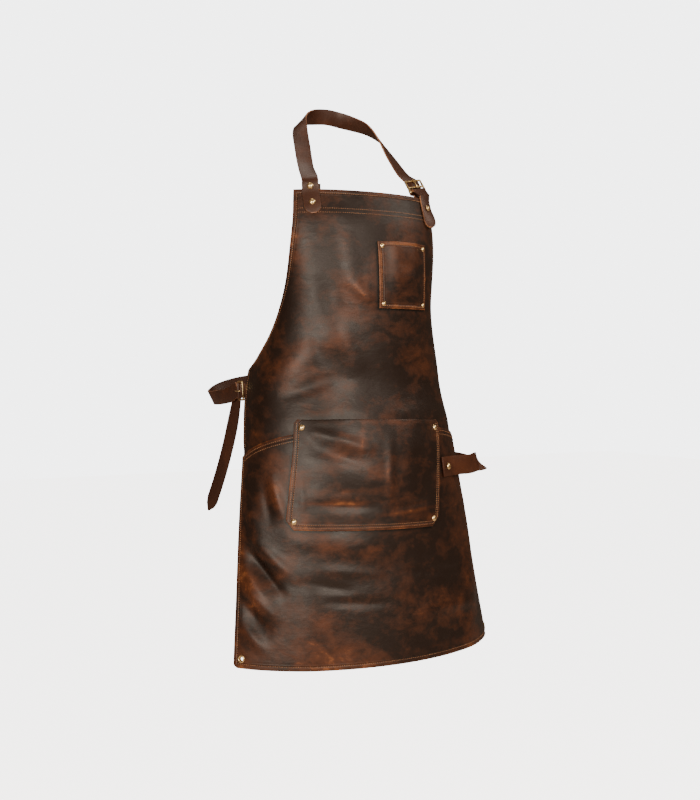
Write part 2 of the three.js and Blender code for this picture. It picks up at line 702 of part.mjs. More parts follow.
// Short piece of leather behind the bib's top edge, held by the strap's rivets
function strapBacking() {
  const stations = [];
  const count = 4;
  for (let i = 0; i <= count; i += 1) {
    const level = APRON_LENGTH + BACKING_RISE - BACKING_HEIGHT * i / count;
    const depth = 2 * PANEL_LEATHER + INNER_SEAT + PANEL_LEATHER / 2;
    const { point, face } = onForm(NECK_SEAT_RIGHT + BACKING_SHIFT, level, -depth, false);
    stations.push({ middle: point, face, width: BACKING_WIDTH });
  }
  return strapBody(stations, PANEL_LEATHER);
}

// Strap tab round a buckle's bar: its end on the panel, up to the bar, round it and back a little way
function tabRoundBar(places, bar, width, face, slope, returnLength, rounded) {
  const bend = BAR_REACH + SEAT_GAP + STRAP_LEATHER / 2;
  const stations = stationsAlong(places, 10, width, rounded);
  const turns = 6;
  for (let i = 0; i <= turns; i += 1) {
    const angle = Math.PI * i / turns;
    const out = face.clone().multiplyScalar(Math.cos(angle)).addScaledVector(slope, Math.sin(angle));
    stations.push({ middle: bar.clone().addScaledVector(out, bend), face: out, width });
  }
  const back = face.clone().negate();
  stations.push({
    middle: bar.clone().addScaledVector(back, bend).addScaledVector(slope, -returnLength),
    face: back,
    width,
  });
  return stations;
}

// Frame of a buckle in its own plane, x across the strap, y along it, with bars of equal section
function buckleFrame(inner, height, crossbars) {
  const outer = inner + 2 * BUCKLE_BAR;
  const corner = BUCKLE_BAR;
  const rounded = (path, w, bottom, top, r) => {
    path.moveTo(-w / 2 + r, bottom);
    path.lineTo(w / 2 - r, bottom);
    path.absarc(w / 2 - r, bottom + r, r, -Math.PI / 2, 0, false);
    path.lineTo(w / 2, top - r);
    path.absarc(w / 2 - r, top - r, r, 0, Math.PI / 2, false);
    path.lineTo(-w / 2 + r, top);
    path.absarc(-w / 2 + r, top - r, r, Math.PI / 2, Math.PI, false);
    path.lineTo(-w / 2, bottom + r);
    path.absarc(-w / 2 + r, bottom + r, r, Math.PI, Math.PI * 1.5, false);
    return path;
  };
  const shape = rounded(new THREE.Shape(), outer, -height / 2, height / 2, corner);
  let bottom = -height / 2 + BUCKLE_BAR;
  for (const bar of [...crossbars, height / 2 - BUCKLE_BAR / 2]) {
    shape.holes.push(rounded(new THREE.Path(), inner, bottom, bar - BUCKLE_BAR / 2, 0.8));
    bottom = bar + BUCKLE_BAR / 2;
  }
  const bevel = 0.7;
  const geometry = new THREE.ExtrudeGeometry(shape, {
    depth: BUCKLE_BAR - 2 * bevel,
    bevelEnabled: true,
    bevelThickness: bevel,
    bevelSize: bevel,
    bevelOffset: -bevel,
    bevelSegments: 1,
    curveSegments: 3,
  });
  return geometry.translate(0, 0, bevel - BUCKLE_BAR / 2);
}

// Sets a shape drawn across, along and out of a strap into its place
function inStrap(geometry, centre, slope, face) {
  const across = slope.clone().cross(face);
  return geometry.applyMatrix4(new THREE.Matrix4().makeBasis(across, slope, face).setPosition(centre));
}

const neckInner = NECK_STRAP_WIDTH + 2 * BUCKLE_PLAY;
const neckCrossbar = BUCKLE_HEIGHT * (0.5 - BUCKLE_CROSSBAR);
const neckBar = buckleCentre.clone().addScaledVector(buckleSlope, BUCKLE_BAR / 2 - BUCKLE_HEIGHT / 2);

// How far out a width of leather lies when it is turned about one of its edges
const turnedOut = (width, turn) => width * Math.sin(turn) / 2;

function neckBuckleTab() {
  const places = TAB_ROWS.map(({ drop, turn }) => {
    const stand = STRAP_SEAT + STRAP_LEATHER / 2 + turnedOut(TAB_WIDTH, turn);
    const { point, face, rise } = onForm(NECK_SEAT_LEFT, APRON_LENGTH - drop * TAB_DROP, stand, false);
    return { middle: point, face: face.applyAxisAngle(rise, -turn) };
  });
  const stations = tabRoundBar(places, neckBar, TAB_WIDTH, buckleFace, buckleSlope, TAB_RETURN, true);
  return strapBody(stations, STRAP_LEATHER);
}

// Tongue: hooked over the crossbar, through the strap and resting on the far bar
function tongueBody(length, rest) {
  const half = TONGUE_THICKNESS / 2;
  const shape = new THREE.Shape();
  shape.moveTo(0, 0);
  shape.lineTo(length, rest - half * 0.6);
  shape.lineTo(length, rest + half);
  shape.lineTo(length * 0.55, rest + half * 1.4);
  shape.lineTo(0, TONGUE_THICKNESS);
  shape.closePath();
  const geometry = new THREE.ExtrudeGeometry(shape, { depth: TONGUE_THICKNESS, bevelEnabled: false });
  geometry.translate(0, 0, -TONGUE_THICKNESS / 2);
  const basis = new THREE.Matrix4().makeBasis(
    new THREE.Vector3(0, 1, 0),
    new THREE.Vector3(0, 0, 1),
    new THREE.Vector3(1, 0, 0),
  );
  return geometry.applyMatrix4(basis);
}

function neckTongue() {
  const reach = BUCKLE_HEIGHT / 2 - neckCrossbar + BUCKLE_BAR * 0.4;
  const lift = BUCKLE_BAR / 2 + SEAT_GAP;
  const tongue = tongueBody(reach, TONGUE_THICKNESS / 2).translate(0, neckCrossbar - BUCKLE_BAR / 2, lift);
  return inStrap(tongue, buckleCentre, buckleSlope, buckleFace);
}

// Waist strap with its free end, and the buckle at the wearer's right
const waistHalf = halfWidthAt(WAIST_STRAP_LEVEL);
const waistEdge = bareForm(-waistHalf, WAIST_STRAP_LEVEL);
const waistSlope = new THREE.Vector3(0, -1, 0);
const waistFace = new THREE.Vector3(-1, 0, -0.08).normalize();
const waistCentre = new THREE.Vector3(
  waistEdge.x,
  waistEdge.y + WAIST_BUCKLE_GAP + WAIST_BUCKLE_HEIGHT / 2,
  WAIST_STRAP_LEVEL + WAIST_BUCKLE_RISE,
);

function waistPlace(row) {
  return {
    middle: new THREE.Vector3(
      -row.x * waistEdge.x,
      waistEdge.y + row.reach * WAIST_REACH,
      WAIST_STRAP_LEVEL + row.rise * WAIST_REACH,
    ),
    face: new THREE.Vector3(row.faceX, row.faceY, row.faceZ).normalize(),
  };
}

const waistInner = 2 * PANEL_LEATHER + INNER_SEAT + SEAT_GAP + STRAP_LEATHER / 2;
const waistBuckleInner = WAIST_STRAP_WIDTH + 2 * BUCKLE_PLAY;

function waistStrap() {
  const sewnLevel = waistPlace(WAIST_ROWS[0]).middle.z;
  const sewn = (inset) => {
    const { point, face } = onForm(halfWidthAt(sewnLevel) - inset, sewnLevel, -waistInner, false);
    return { middle: point, face };
  };
  const over = BAR_REACH + SEAT_GAP + STRAP_LEATHER / 2;
  const atFrame = (along, out) => ({
    middle: waistCentre.clone().addScaledVector(waistSlope, along).addScaledVector(waistFace, out),
    face: waistFace.clone(),
  });
  const places = [
    sewn(WAIST_OVERLAP),
    sewn(WAIST_OVERLAP * 0.3),
    sewn(-STRAP_LEATHER * 2),
    ...WAIST_ROWS.slice(1).map(waistPlace),
    atFrame(-WAIST_BUCKLE_HEIGHT * 0.9, over),
    atFrame(-WAIST_BUCKLE_HEIGHT / 2, over),
    atFrame(-WAIST_BUCKLE_HEIGHT / 2 + BUCKLE_BAR, over),
  ];
  const band = toSolid(strapBody(stationsAlong(places, 84, WAIST_STRAP_WIDTH), STRAP_LEATHER));

  const bend = over;
  const bar = waistCentre.clone().addScaledVector(waistSlope, BUCKLE_BAR / 2 - WAIST_BUCKLE_HEIGHT / 2);
  const turn = [];
  for (let i = 0; i <= 6; i += 1) {
    const angle = Math.PI * i / 6;
    const out = waistFace.clone().multiplyScalar(Math.cos(angle));
    out.addScaledVector(waistSlope, Math.sin(angle));
    turn.push({ middle: bar.clone().addScaledVector(out, bend), face: out, width: WAIST_STRAP_WIDTH });
  }
  const inside = waistFace.clone().negate();
  turn.push({
    middle: bar.clone().addScaledVector(inside, bend).addScaledVector(waistSlope, -WAIST_RETURN),
    face: inside,
    width: WAIST_STRAP_WIDTH,
  });
  const wrap = toSolid(strapBody(turn, STRAP_LEATHER));

  const start = turn[turn.length - 1].middle.clone();
  const down = new THREE.Vector3(-0.05, 0.45, -0.89).normalize();
  down.addScaledVector(inside, -down.dot(inside)).normalize();
  const swing = new THREE.Vector3(-0.14, 0.48, -0.87).normalize();
  const tailWay = (share) => down.clone().lerp(swing, share).normalize();
  const tail = [];
  const middle = start.clone().addScaledVector(down, -WAIST_STRAP_WIDTH * 0.35);
  const turned = new THREE.Vector3(0.93, 0.36, 0);
  const count = 22;
  const step = TAIL_LENGTH / count;
  for (let i = 0; i <= count; i += 1) {
    const left = TAIL_LENGTH - i * step;
    const width = WAIST_STRAP_WIDTH * Math.min(1, 0.12 + 0.88 * Math.sqrt(Math.max(left, 0) / TAIL_TIP));
    tail.push({ middle: middle.clone(), face: inside.clone().lerp(turned, smooth(3 * i / count)), width });
    middle.addScaledVector(tailWay(i / count), step);
  }
  return toGeometry(band.add(wrap).add(toSolid(strapBody(tail, STRAP_LEATHER))));
}

function waistTab() {
  const level = WAIST_STRAP_LEVEL + WAIST_BUCKLE_RISE;
  const sewn = (inset) => {
    const { point, face } = onForm(-(waistHalf - inset), level, -waistInner, false);
    return { middle: point, face: face.clone().negate() };
  };
  const places = [sewn(WAIST_OVERLAP), sewn(WAIST_OVERLAP / 2), sewn(0)];
  const bar = waistCentre.clone().addScaledVector(waistSlope, WAIST_BUCKLE_HEIGHT / 2 - BUCKLE_BAR / 2);
  const back = waistSlope.clone().negate();
  const stations = tabRoundBar(
    places, bar, WAIST_STRAP_WIDTH - 2, waistFace.clone().negate(), back, TAB_RETURN, false,
  );
  return strapBody(stations, STRAP_LEATHER);
}

function waistTongue() {
  const reach = WAIST_BUCKLE_HEIGHT - BUCKLE_BAR * 1.1;
  const tongue = tongueBody(reach, TONGUE_THICKNESS / 2)
    .translate(0, -WAIST_BUCKLE_HEIGHT / 2 + BUCKLE_BAR, BUCKLE_BAR / 2 + SEAT_GAP * 2 + STRAP_LEATHER);
  return inStrap(tongue, waistCentre, waistSlope.clone().negate(), waistFace);
}

// Rivets: a domed head, a shank through every layer and a flat burr behind
function rivetBody(head, depth) {
  const r = head / 2;
  const burr = 1;
  const profile = [
    [0, -depth - RIVET_PLAY - burr],
    [r * 0.78, -depth - RIVET_PLAY - burr],
    [r * 0.78, -depth - RIVET_PLAY],
    [SHANK / 2, -depth - RIVET_PLAY],
    [SHANK / 2, RIVET_PLAY / 2],
    [r, RIVET_PLAY / 2],
    [r * 0.94, RIVET_PLAY / 2 + r * 0.26],
    [r * 0.55, RIVET_PLAY / 2 + r * 0.48],
    [0, RIVET_PLAY / 2 + r * 0.56],
  ];
  return new THREE.LatheGeometry(profile.map(([x, y]) => new THREE.Vector2(x, y)), RIVET_SIDES);
}

// A rivet's place: across and level on the form, how far its head stands out and how much leather it holds
function pocketRivets(prefix, pocket, inset, head, behind) {
  const list = [];
  for (const [row, up] of [['upper', 1], ['lower', -1]]) {
    for (const [side, way] of [['right', -1], ['left', 1]]) {
      const share = way * (1 - inset / (pocket.width / 2));
      const height = 0.5 + up * (0.5 - inset / pocket.height);
      const { across, level } = pocketPlace({ ...pocket, footCorner: 0, topCorner: 0 }, share, height);
      const stand = pocketStand(pocket, share, height) + PANEL_LEATHER;
      const { point, face } = onForm(across, level, stand);
      const depth = stand + behind(across, level);
      list.push({ name: `${prefix}_${row}_${side}`, point, face, head, depth });
    }
  }
  return list;
}

const panelBehind = (across, level) => {
  const share = across / halfWidthAt(level);
  return level > seamLevel(share)
    ? PANEL_LEATHER - bibStand(share, level)
    : PANEL_LEATHER + (level > seamLevel(share) - SEAM_LAP ? PANEL_LEATHER + LAP_GAP : 0);
};

const frontPocketRivets = pocketRivets(
  'front_pocket_rivet', frontPocket, POCKET_RIVET_INSET, POCKET_RIVET, panelBehind,
);
const chestPocketRivets = pocketRivets(
  'chest_pocket_rivet', chestPocket, CHEST_RIVET_INSET, CHEST_RIVET, panelBehind,
);

function strapRivet(name, across, drop, head, stand, depth) {
  const { point, face } = onForm(across, APRON_LENGTH - drop, stand, false);
  return { name, point, face, head, depth };
}

const strapStand = STRAP_SEAT + STRAP_LEATHER + SEAT_GAP;
const backingDepth = 2 * PANEL_LEATHER + INNER_SEAT + PANEL_LEATHER;
const tuckedDepth = 2 * PANEL_LEATHER + TUCK_SEAT + STRAP_LEATHER;
const strapRivets = [
  ['strap_rivet_lower', NECK_RIVET_DROP],
  ['strap_rivet_upper', -NECK_RIVET_RISE],
].map(([name, drop]) => strapRivet(
  name, NECK_SEAT_RIGHT, drop, STRAP_RIVET, strapStand, strapStand + backingDepth,
));
const tabTurn = TAB_ROWS[2].turn;
const tabStand = strapStand + turnedOut(TAB_WIDTH, tabTurn) + turnedOut(STRAP_RIVET, tabTurn);
const tabRivet = strapRivet(
  'tab_rivet', NECK_SEAT_LEFT, TAB_RIVET_DROP, STRAP_RIVET, tabStand, tabStand + tuckedDepth,
);
const loopRivets = [
  ['tool_loop_rivet_front', LOOP_START + LOOP_RIVET_INSET, LOOP_RIVET, LOOP_ROWS[0]],
  ['tool_loop_rivet_back', LOOP_START + LOOP_SPAN * 0.965, POCKET_RIVET, LOOP_ROWS[LOOP_ROWS.length - 1]],
].map(([name, across, head, row]) => {
  const stand = LOOP_SEAT + STRAP_LEATHER + row.stand * LOOP_STAND;
  const { point, face } = onForm(across, LOOP_LEVEL, stand);
  return { name, point, face, head, depth: stand + PANEL_LEATHER };
});

const holesFor = (rivets) => rivets.map(({ point, face }) => ({
  point,
  face,
  radius: SHANK / 2 + SEAT_GAP,
  depth: RIVET_HOLE_DEPTH,
}));

// Eyelets near the hem's corners: a rolled ring of brass through the turned leather
function eyeletBody() {
  const hole = EYELET_HOLE / 2;
  const barrel = hole + 0.9;
  const rim = EYELET_OUTER / 2;
  const depth = 2 * PANEL_LEATHER + RIVET_PLAY;
  const profile = [
    [hole, -depth - 1],
    [rim * 0.84, -depth - 1],
    [rim * 0.84, -depth],
    [barrel, -depth],
    [barrel, SEAT_GAP],
    [rim, SEAT_GAP],
    [rim * 0.88, SEAT_GAP + 1.3],
    [rim * 0.66, SEAT_GAP + 1.4],
    [hole, SEAT_GAP],
    [hole, -depth - 1],
  ];
  return new THREE.LatheGeometry(profile.map(([x, y]) => new THREE.Vector2(x, y)), 14);
}

const eyelets = [['eyelet_right', -1], ['eyelet_left', 1]].map(([name, side]) => {
  const across = side * (halfWidthAt(EYELET_INSET) - EYELET_INSET);
  const { point, face } = onForm(across, EYELET_INSET);
  return { name, point, face };
});
const eyeletHoles = eyelets.map(({ point, face }) => ({
  point,
  face,
  radius: EYELET_HOLE / 2 + 0.9 + SEAT_GAP * 2,
  depth: EYELET_HOLE_DEPTH,
}));

// Finishes
const darkLeather = { color: 0x3a241a, roughness: 0.5, metalness: 0 };
const strapLeather = { color: 0x4f2c1c, roughness: 0.5, metalness: 0 };
const brass = { color: 0xc9a35c, roughness: 0.3, metalness: 1 };

const group = new THREE.Group();

function piece(name, geometry, finish) {
  const mesh = new THREE.Mesh(geometry, new THREE.MeshStandardMaterial(finish));
  mesh.name = name;
  group.add(mesh);
}

const upperPocketRivets = frontPocketRivets.slice(0, 2);
piece('bib_panel', drilled(bibPanel(), holesFor([
  ...chestPocketRivets,
  ...upperPocketRivets,
  strapRivets[0],
  tabRivet,
])), darkLeather);
piece('skirt_panel', drilled(skirtPanel(), [
  ...holesFor([...frontPocketRivets, ...loopRivets]),
  ...eyeletHoles,
]), darkLeather);
piece('front_pocket', drilled(pocketBody(frontPocket), holesFor(frontPocketRivets)), darkLeather);
piece('chest_pocket', drilled(pocketBody(chestPocket), holesFor(chestPocketRivets)), darkLeather);
const loopHoles = holesFor(loopRivets).map((hole) => ({ ...hole, depth: THIN_HOLE_DEPTH }));
piece('tool_loop', drilled(toolLoop(), loopHoles), strapLeather);
piece('neck_strap', drilled(neckStrap(), holesFor([...strapRivets, tabRivet])), strapLeather);
piece('neck_strap_backing', drilled(strapBacking(), holesFor(strapRivets)), darkLeather);
piece('neck_buckle_tab', drilled(neckBuckleTab(), holesFor([tabRivet])), strapLeather);
piece('neck_buckle_frame', inStrap(
  buckleFrame(neckInner, BUCKLE_HEIGHT, [neckCrossbar]), buckleCentre, buckleSlope, buckleFace,
), brass);
piece('neck_buckle_tongue', neckTongue(), brass);
piece('waist_strap', waistStrap(), strapLeather);
piece('waist_buckle_tab', waistTab(), strapLeather);
piece('waist_buckle_frame', inStrap(
  buckleFrame(waistBuckleInner, WAIST_BUCKLE_HEIGHT, []), waistCentre, waistSlope, waistFace,
), brass);
piece('waist_buckle_tongue', waistTongue(), brass);
for (const rivet of [...strapRivets, tabRivet, ...frontPocketRivets, ...chestPocketRivets, ...loopRivets]) {
  piece(rivet.name, placed(rivetBody(rivet.head, rivet.depth), rivet.point, rivet.face), brass);
}
for (const eyelet of eyelets) {
  piece(eyelet.name, placed(eyeletBody(), eyelet.point, eyelet.face), brass);
}

// The origin lies on the nape side of the neck strap
const rest = nape.middle.clone().addScaledVector(nape.face, -STRAP_LEATHER / 2);
group.position.set(-rest.x, -rest.y, -rest.z);

export default group;
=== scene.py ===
import math
import bmesh
import bpy
import numpy as np
from mathutils import Matrix, Vector


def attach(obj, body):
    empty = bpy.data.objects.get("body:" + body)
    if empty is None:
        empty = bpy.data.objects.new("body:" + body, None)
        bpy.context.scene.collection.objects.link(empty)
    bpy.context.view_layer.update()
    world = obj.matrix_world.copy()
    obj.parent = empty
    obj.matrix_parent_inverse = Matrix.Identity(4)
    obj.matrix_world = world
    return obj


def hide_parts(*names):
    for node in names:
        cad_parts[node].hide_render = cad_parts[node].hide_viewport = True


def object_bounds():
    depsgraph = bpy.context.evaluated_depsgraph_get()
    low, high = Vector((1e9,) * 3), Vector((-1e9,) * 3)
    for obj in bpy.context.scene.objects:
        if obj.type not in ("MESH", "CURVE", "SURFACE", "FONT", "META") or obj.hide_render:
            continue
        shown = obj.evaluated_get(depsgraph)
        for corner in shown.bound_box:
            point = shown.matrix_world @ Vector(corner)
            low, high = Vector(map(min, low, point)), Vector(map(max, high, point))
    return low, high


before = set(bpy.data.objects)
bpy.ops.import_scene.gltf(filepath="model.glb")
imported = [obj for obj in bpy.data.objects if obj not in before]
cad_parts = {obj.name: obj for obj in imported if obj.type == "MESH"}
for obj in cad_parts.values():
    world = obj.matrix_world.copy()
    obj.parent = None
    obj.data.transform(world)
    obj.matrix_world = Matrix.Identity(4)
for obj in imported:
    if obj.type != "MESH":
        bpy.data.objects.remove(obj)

cad_box = [list(corner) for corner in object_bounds()]

# The view: a standing wearer's apron seen from their right front, a little below the chest.
# The floor is well below the hem, because the apron hangs from the neck strap. Floor and room are bright to
# the camera alone and dim to the leather, which keeps its darks deep.
camera = bpy.data.objects.new("view_from_right_front", bpy.data.cameras.new("view_from_right_front"))
bpy.context.collection.objects.link(camera)
camera.location = (-1.1004, -2.0650, -0.5198)
camera.rotation_euler = (math.radians(88.26), 0, math.radians(-29.2))
camera.data.lens = 50
camera.data.sensor_width = 36
camera.data.clip_end = 40
bpy.context.scene.camera = camera


def new_material(name):
    material = bpy.data.materials.new(name)
    material.use_nodes = True
    tree = material.node_tree
    return material, tree, tree.nodes["Principled BSDF"]


def bright_to_camera(tree, lighting, seen, strength):
    by_camera = tree.nodes.new("ShaderNodeLightPath").outputs["Is Camera Ray"]
    share = tree.nodes.new("ShaderNodeMapRange")
    share.inputs["To Min"].default_value = lighting
    share.inputs["To Max"].default_value = seen
    tree.links.new(by_camera, share.inputs["Value"])
    tree.links.new(share.outputs[0], strength)
    return by_camera


FLOOR_DROP = 0.55
FLOOR_HALF = 9
floor_mesh = bpy.data.meshes.new("floor")
floor_form = bmesh.new()
bmesh.ops.create_grid(floor_form, x_segments=1, y_segments=1, size=FLOOR_HALF,
                      matrix=Matrix.Translation((0, 0, cad_box[0][2] - FLOOR_DROP)))
floor_form.to_mesh(floor_mesh)
floor_form.free()
floor = bpy.data.objects.new("floor", floor_mesh)
bpy.context.collection.objects.link(floor)
pale, pale_tree, pale_shader = new_material("pale_floor")
pale_shader.inputs["Base Color"].default_value = (0.66, 0.56, 0.48, 1)
pale_shader.inputs["Roughness"].default_value = 0.9
pale_shader.inputs["Emission Color"].default_value = (1, 0.99, 0.98, 1)
bright_to_camera(pale_tree, 0.05, 4.4, pale_shader.inputs["Emission Strength"])
floor_mesh.materials.append(pale)

world = bpy.data.worlds.new("pale_room")
world.use_nodes = True
room = world.node_tree
background = room.nodes["Background"]
by_camera = bright_to_camera(room, 0.17, 4.8, background.inputs["Strength"])
hue = room.nodes.new("ShaderNodeMix")
hue.data_type = "RGBA"
hue.inputs["A"].default_value = (1.0, 0.68, 0.47, 1)
hue.inputs["B"].default_value = (0.97, 0.975, 0.98, 1)
room.links.new(by_camera, hue.inputs["Factor"])
room.links.new(hue.outputs["Result"], background.inputs["Color"])
bpy.context.scene.world = world

LAMP_AIM = Vector((0, -0.2, -0.6))
for name, place, size, power in [
    ("window_front", (-0.12, -2.75, 0.30), 0.7, 58),
    ("window_right", (1.5, -1.1, 0.9), 0.8, 14),
    ("window_left", (-2.1, -1.9, -0.1), 0.7, 60),
    ("window_above", (0.1, 0.3, 1.5), 1.2, 12),
]:
    lamp = bpy.data.lights.new(name, "AREA")
    lamp.size = size
    lamp.energy = power
    lamp.color = (1.0, 0.92, 0.83)
    light = bpy.data.objects.new(name, lamp)
    light.location = place
    light.rotation_euler = (LAMP_AIM - Vector(place)).to_track_quat("-Z", "Y").to_euler()
    bpy.context.collection.objects.link(light)

# Bib: the upper panel of thick dark waxed leather, cut to a waisted outline, with a turned and sewn top.
# It hangs round an upright body, so each place on the flat leather is carried to the hung form, in
# millimetres above the hem and along the leather from the front centre.
LENGTH = 900
HEM_HALF = 330
WAIST_HALF = 315
TOP_HALF = 163
WAIST_LEVEL = 554
FORM_DEPTH = 216
FORM_FRONT = 208
FORM_STEPS = 90
SEAM_LEVEL = 444
SEAM_DROP = 59
SEAM_LAP = 20
LAP_DEPTH = 3.0
LAP_GAP = 0.8
LAP_EASE = 34
HEM_CORNER = 8
LEATHER = 2.2
NAPE = np.array([0, 89.783, 1080.777])
# Shares of the hung form: level, half width, depth and distance of the front.
FORM = np.array([
    (0.000, 0.994, 1.000, 1.000),
    (0.222, 0.841, 0.843, 0.913),
    (0.444, 0.727, 0.727, 0.798),
    (0.600, 0.644, 0.644, 0.644),
    (0.778, 0.533, 0.491, 0.649),
    (0.922, 0.541, 0.407, 0.596),
    (1.000, 0.541, 0.407, 0.495),
])
BIB_EDGE = np.array([
    (0.000, 1.000), (0.055, 0.830), (0.113, 0.706), (0.168, 0.595), (0.225, 0.507),
    (0.336, 0.379), (0.497, 0.235), (0.717, 0.124), (1.000, 0.000),
])
SKIRT_EDGE = np.array([(0.0, 0.0), (0.25, 0.28), (0.65, 0.18), (0.82, 0.30), (0.93, 0.74), (1.0, 1.0)])
# Each fold's name, its two ends as shares of half width and length, its breadth and its rise.
FOLDS = [
    ("right knee valley", -0.96, 0.245, -0.74, 0.175, 0.020, -0.0090),
    ("right knee ridge", -0.98, 0.205, -0.76, 0.120, 0.020, 0.0070),
    ("right shin valley", -1.00, 0.135, -0.80, 0.070, 0.018, -0.0070),
    ("right thigh ridge", -0.92, 0.330, -0.78, 0.255, 0.022, 0.0045),
    ("below the pocket", -0.35, 0.185, 0.25, 0.225, 0.040, -0.0045),
    ("left shin ridge", 0.05, 0.085, 0.72, 0.140, 0.036, 0.0050),
    ("left side ridge", 0.60, 0.020, 0.70, 0.300, 0.040, 0.0070),
    ("right front ridge", -0.55, 0.000, -0.48, 0.180, 0.040, 0.0050),
    ("chest crease", -0.20, 0.800, -0.06, 0.762, 0.014, 0.0040),
    ("belly hollow", -0.42, 0.640, 0.10, 0.560, 0.045, -0.0060),
    ("right waist ridge", -0.70, 0.585, -0.30, 0.690, 0.030, 0.0050),
]


def follow(rows, column, at):
    at = np.asarray(at, float)
    x, y = rows[:, 0], rows[:, column]
    step = np.diff(x)
    slope = np.diff(y) / step
    bend = np.zeros(len(x))
    bend[0], bend[-1] = slope[0], slope[-1]
    for i in range(1, len(x) - 1):
        if slope[i - 1] * slope[i] > 0:
            before, after = 2 * step[i] + step[i - 1], step[i] + 2 * step[i - 1]
            bend[i] = (before + after) / (before / slope[i - 1] + after / slope[i])
    i = np.clip(np.searchsorted(x, at, side="right") - 1, 0, len(step) - 1)
    t = np.clip((at - x[i]) / step[i], 0, 1)
    start = y[i] * (1 + 2 * t) * (1 - t) ** 2 + bend[i] * step[i] * t * (1 - t) ** 2
    return start + y[i + 1] * t * t * (3 - 2 * t) + bend[i + 1] * step[i] * t * t * (t - 1)


def smooth(share):
    t = np.clip(share, 0, 1)
    return t * t * (3 - 2 * t)


def bare_form(across, level):
    half = WAIST_HALF * follow(FORM, 1, level / LENGTH)
    depth = FORM_DEPTH * follow(FORM, 2, level / LENGTH)
    front = FORM_FRONT * follow(FORM, 3, level / LENGTH)
    angle = np.linspace(0, np.pi / 2, FORM_STEPS + 1)
    x = half[:, None] * np.sin(angle)
    y = depth[:, None] * (1 - np.cos(angle))
    walked = np.concatenate(
        [np.zeros((len(half), 1)), np.cumsum(np.hypot(np.diff(x), np.diff(y)), axis=1)], axis=1)
    arc = np.abs(across)
    i = np.clip(np.sum(walked <= arc[:, None], axis=1) - 1, 0, FORM_STEPS - 1)
    row = np.arange(len(arc))
    share = (arc - walked[row, i]) / (walked[row, i + 1] - walked[row, i])
    straight = np.maximum(arc - walked[:, -1], 0)
    share = np.minimum(share, 1)
    px = x[row, i] + share * (x[row, i + 1] - x[row, i])
    py = y[row, i] + share * (y[row, i + 1] - y[row, i]) + straight
    return np.stack([np.sign(across) * px, py - front, level], axis=1)


CREASES = [
    ("knee valley", -0.90, 0.240, -0.69, 0.155, 0.010, -0.0060),
    ("knee ridge", -0.86, 0.262, -0.62, 0.190, 0.014, 0.0052),
    ("lower knee ridge", -0.92, 0.205, -0.74, 0.130, 0.010, 0.0036),
    ("shin valley", -0.98, 0.145, -0.78, 0.085, 0.010, -0.0056),
    ("shin ridge", -0.96, 0.170, -0.72, 0.105, 0.011, 0.0044),
    ("foot ridge", -0.97, 0.098, -0.80, 0.040, 0.012, 0.0040),
    ("ridge by the pocket", -0.72, 0.385, -0.66, 0.310, 0.011, 0.0050),
    ("valley by the pocket", -0.78, 0.370, -0.74, 0.300, 0.010, -0.0036),
    ("thigh swell", -0.62, 0.268, -0.20, 0.250, 0.022, 0.0042),
    ("short front valley", -0.56, 0.176, -0.30, 0.160, 0.009, -0.0034),
    ("middle front valley", -0.42, 0.138, -0.08, 0.128, 0.009, -0.0030),
    ("middle front ridge", -0.50, 0.205, -0.12, 0.190, 0.011, 0.0028),
    ("left front valley", 0.10, 0.190, 0.52, 0.172, 0.011, -0.0026),
    ("left front ridge", 0.20, 0.110, 0.66, 0.096, 0.012, 0.0026),
    ("upper chest swell", -0.26, 0.930, -0.22, 0.780, 0.030, 0.0040),
    ("chest dent", -0.36, 0.800, -0.30, 0.730, 0.016, -0.0030),
    ("belly swell", -0.30, 0.720, -0.16, 0.600, 0.026, 0.0044),
    ("waist valley", -0.58, 0.560, -0.30, 0.600, 0.014, -0.0034),
    ("arm dent", -0.42, 0.690, -0.34, 0.640, 0.014, -0.0030),
    ("left belly dent", 0.12, 0.640, 0.30, 0.600, 0.020, -0.0026),
]


def fold_sum(folds, across, level):
    rise = np.zeros(np.shape(across))
    for name, x0, z0, x1, z1, breadth, height in folds:
        run_x, run_z = (x1 - x0) * HEM_HALF, (z1 - z0) * LENGTH
        dx, dz = across - x0 * HEM_HALF, level - z0 * LENGTH
        near = np.clip((dx * run_x + dz * run_z) / (run_x ** 2 + run_z ** 2), 0, 1)
        far = np.hypot(dx - near * run_x, dz - near * run_z) / (breadth * LENGTH)
        rise += height * LENGTH * np.exp(-far ** 2) * (1 - 0.6 * (2 * near - 1) ** 2)
    return rise


def on_form(across, level, stand=0.0):
    across = np.atleast_1d(np.asarray(across, float))
    level = np.broadcast_to(np.asarray(level, float), across.shape)
    reach = 3.0
    side = bare_form(across + reach, level) - bare_form(across - reach, level)
    rise = bare_form(across, level + reach) - bare_form(across, level - reach)
    face = np.cross(side, rise)
    face /= np.linalg.norm(face, axis=1)[:, None]
    out = np.asarray(stand) + fold_sum(FOLDS, across, level)
    point = bare_form(across, level) + face * np.broadcast_to(out, across.shape)[:, None]
    return (point - NAPE) / 1000, face


def half_width(level):
    level = np.asarray(level, float)
    above = (level - WAIST_LEVEL) / (LENGTH - WAIST_LEVEL)
    bib = TOP_HALF + (WAIST_HALF - TOP_HALF) * follow(BIB_EDGE, 1, above)
    skirt = HEM_HALF - (HEM_HALF - WAIST_HALF) * follow(SKIRT_EDGE, 1, level / WAIST_LEVEL)
    below = np.clip(HEM_CORNER - level, 0, HEM_CORNER)
    skirt = skirt - HEM_CORNER + np.sqrt(HEM_CORNER ** 2 - below ** 2)
    return np.where(level >= WAIST_LEVEL, bib, skirt)


def seam_level(share):
    return SEAM_LEVEL - SEAM_DROP * np.abs(share) ** 3


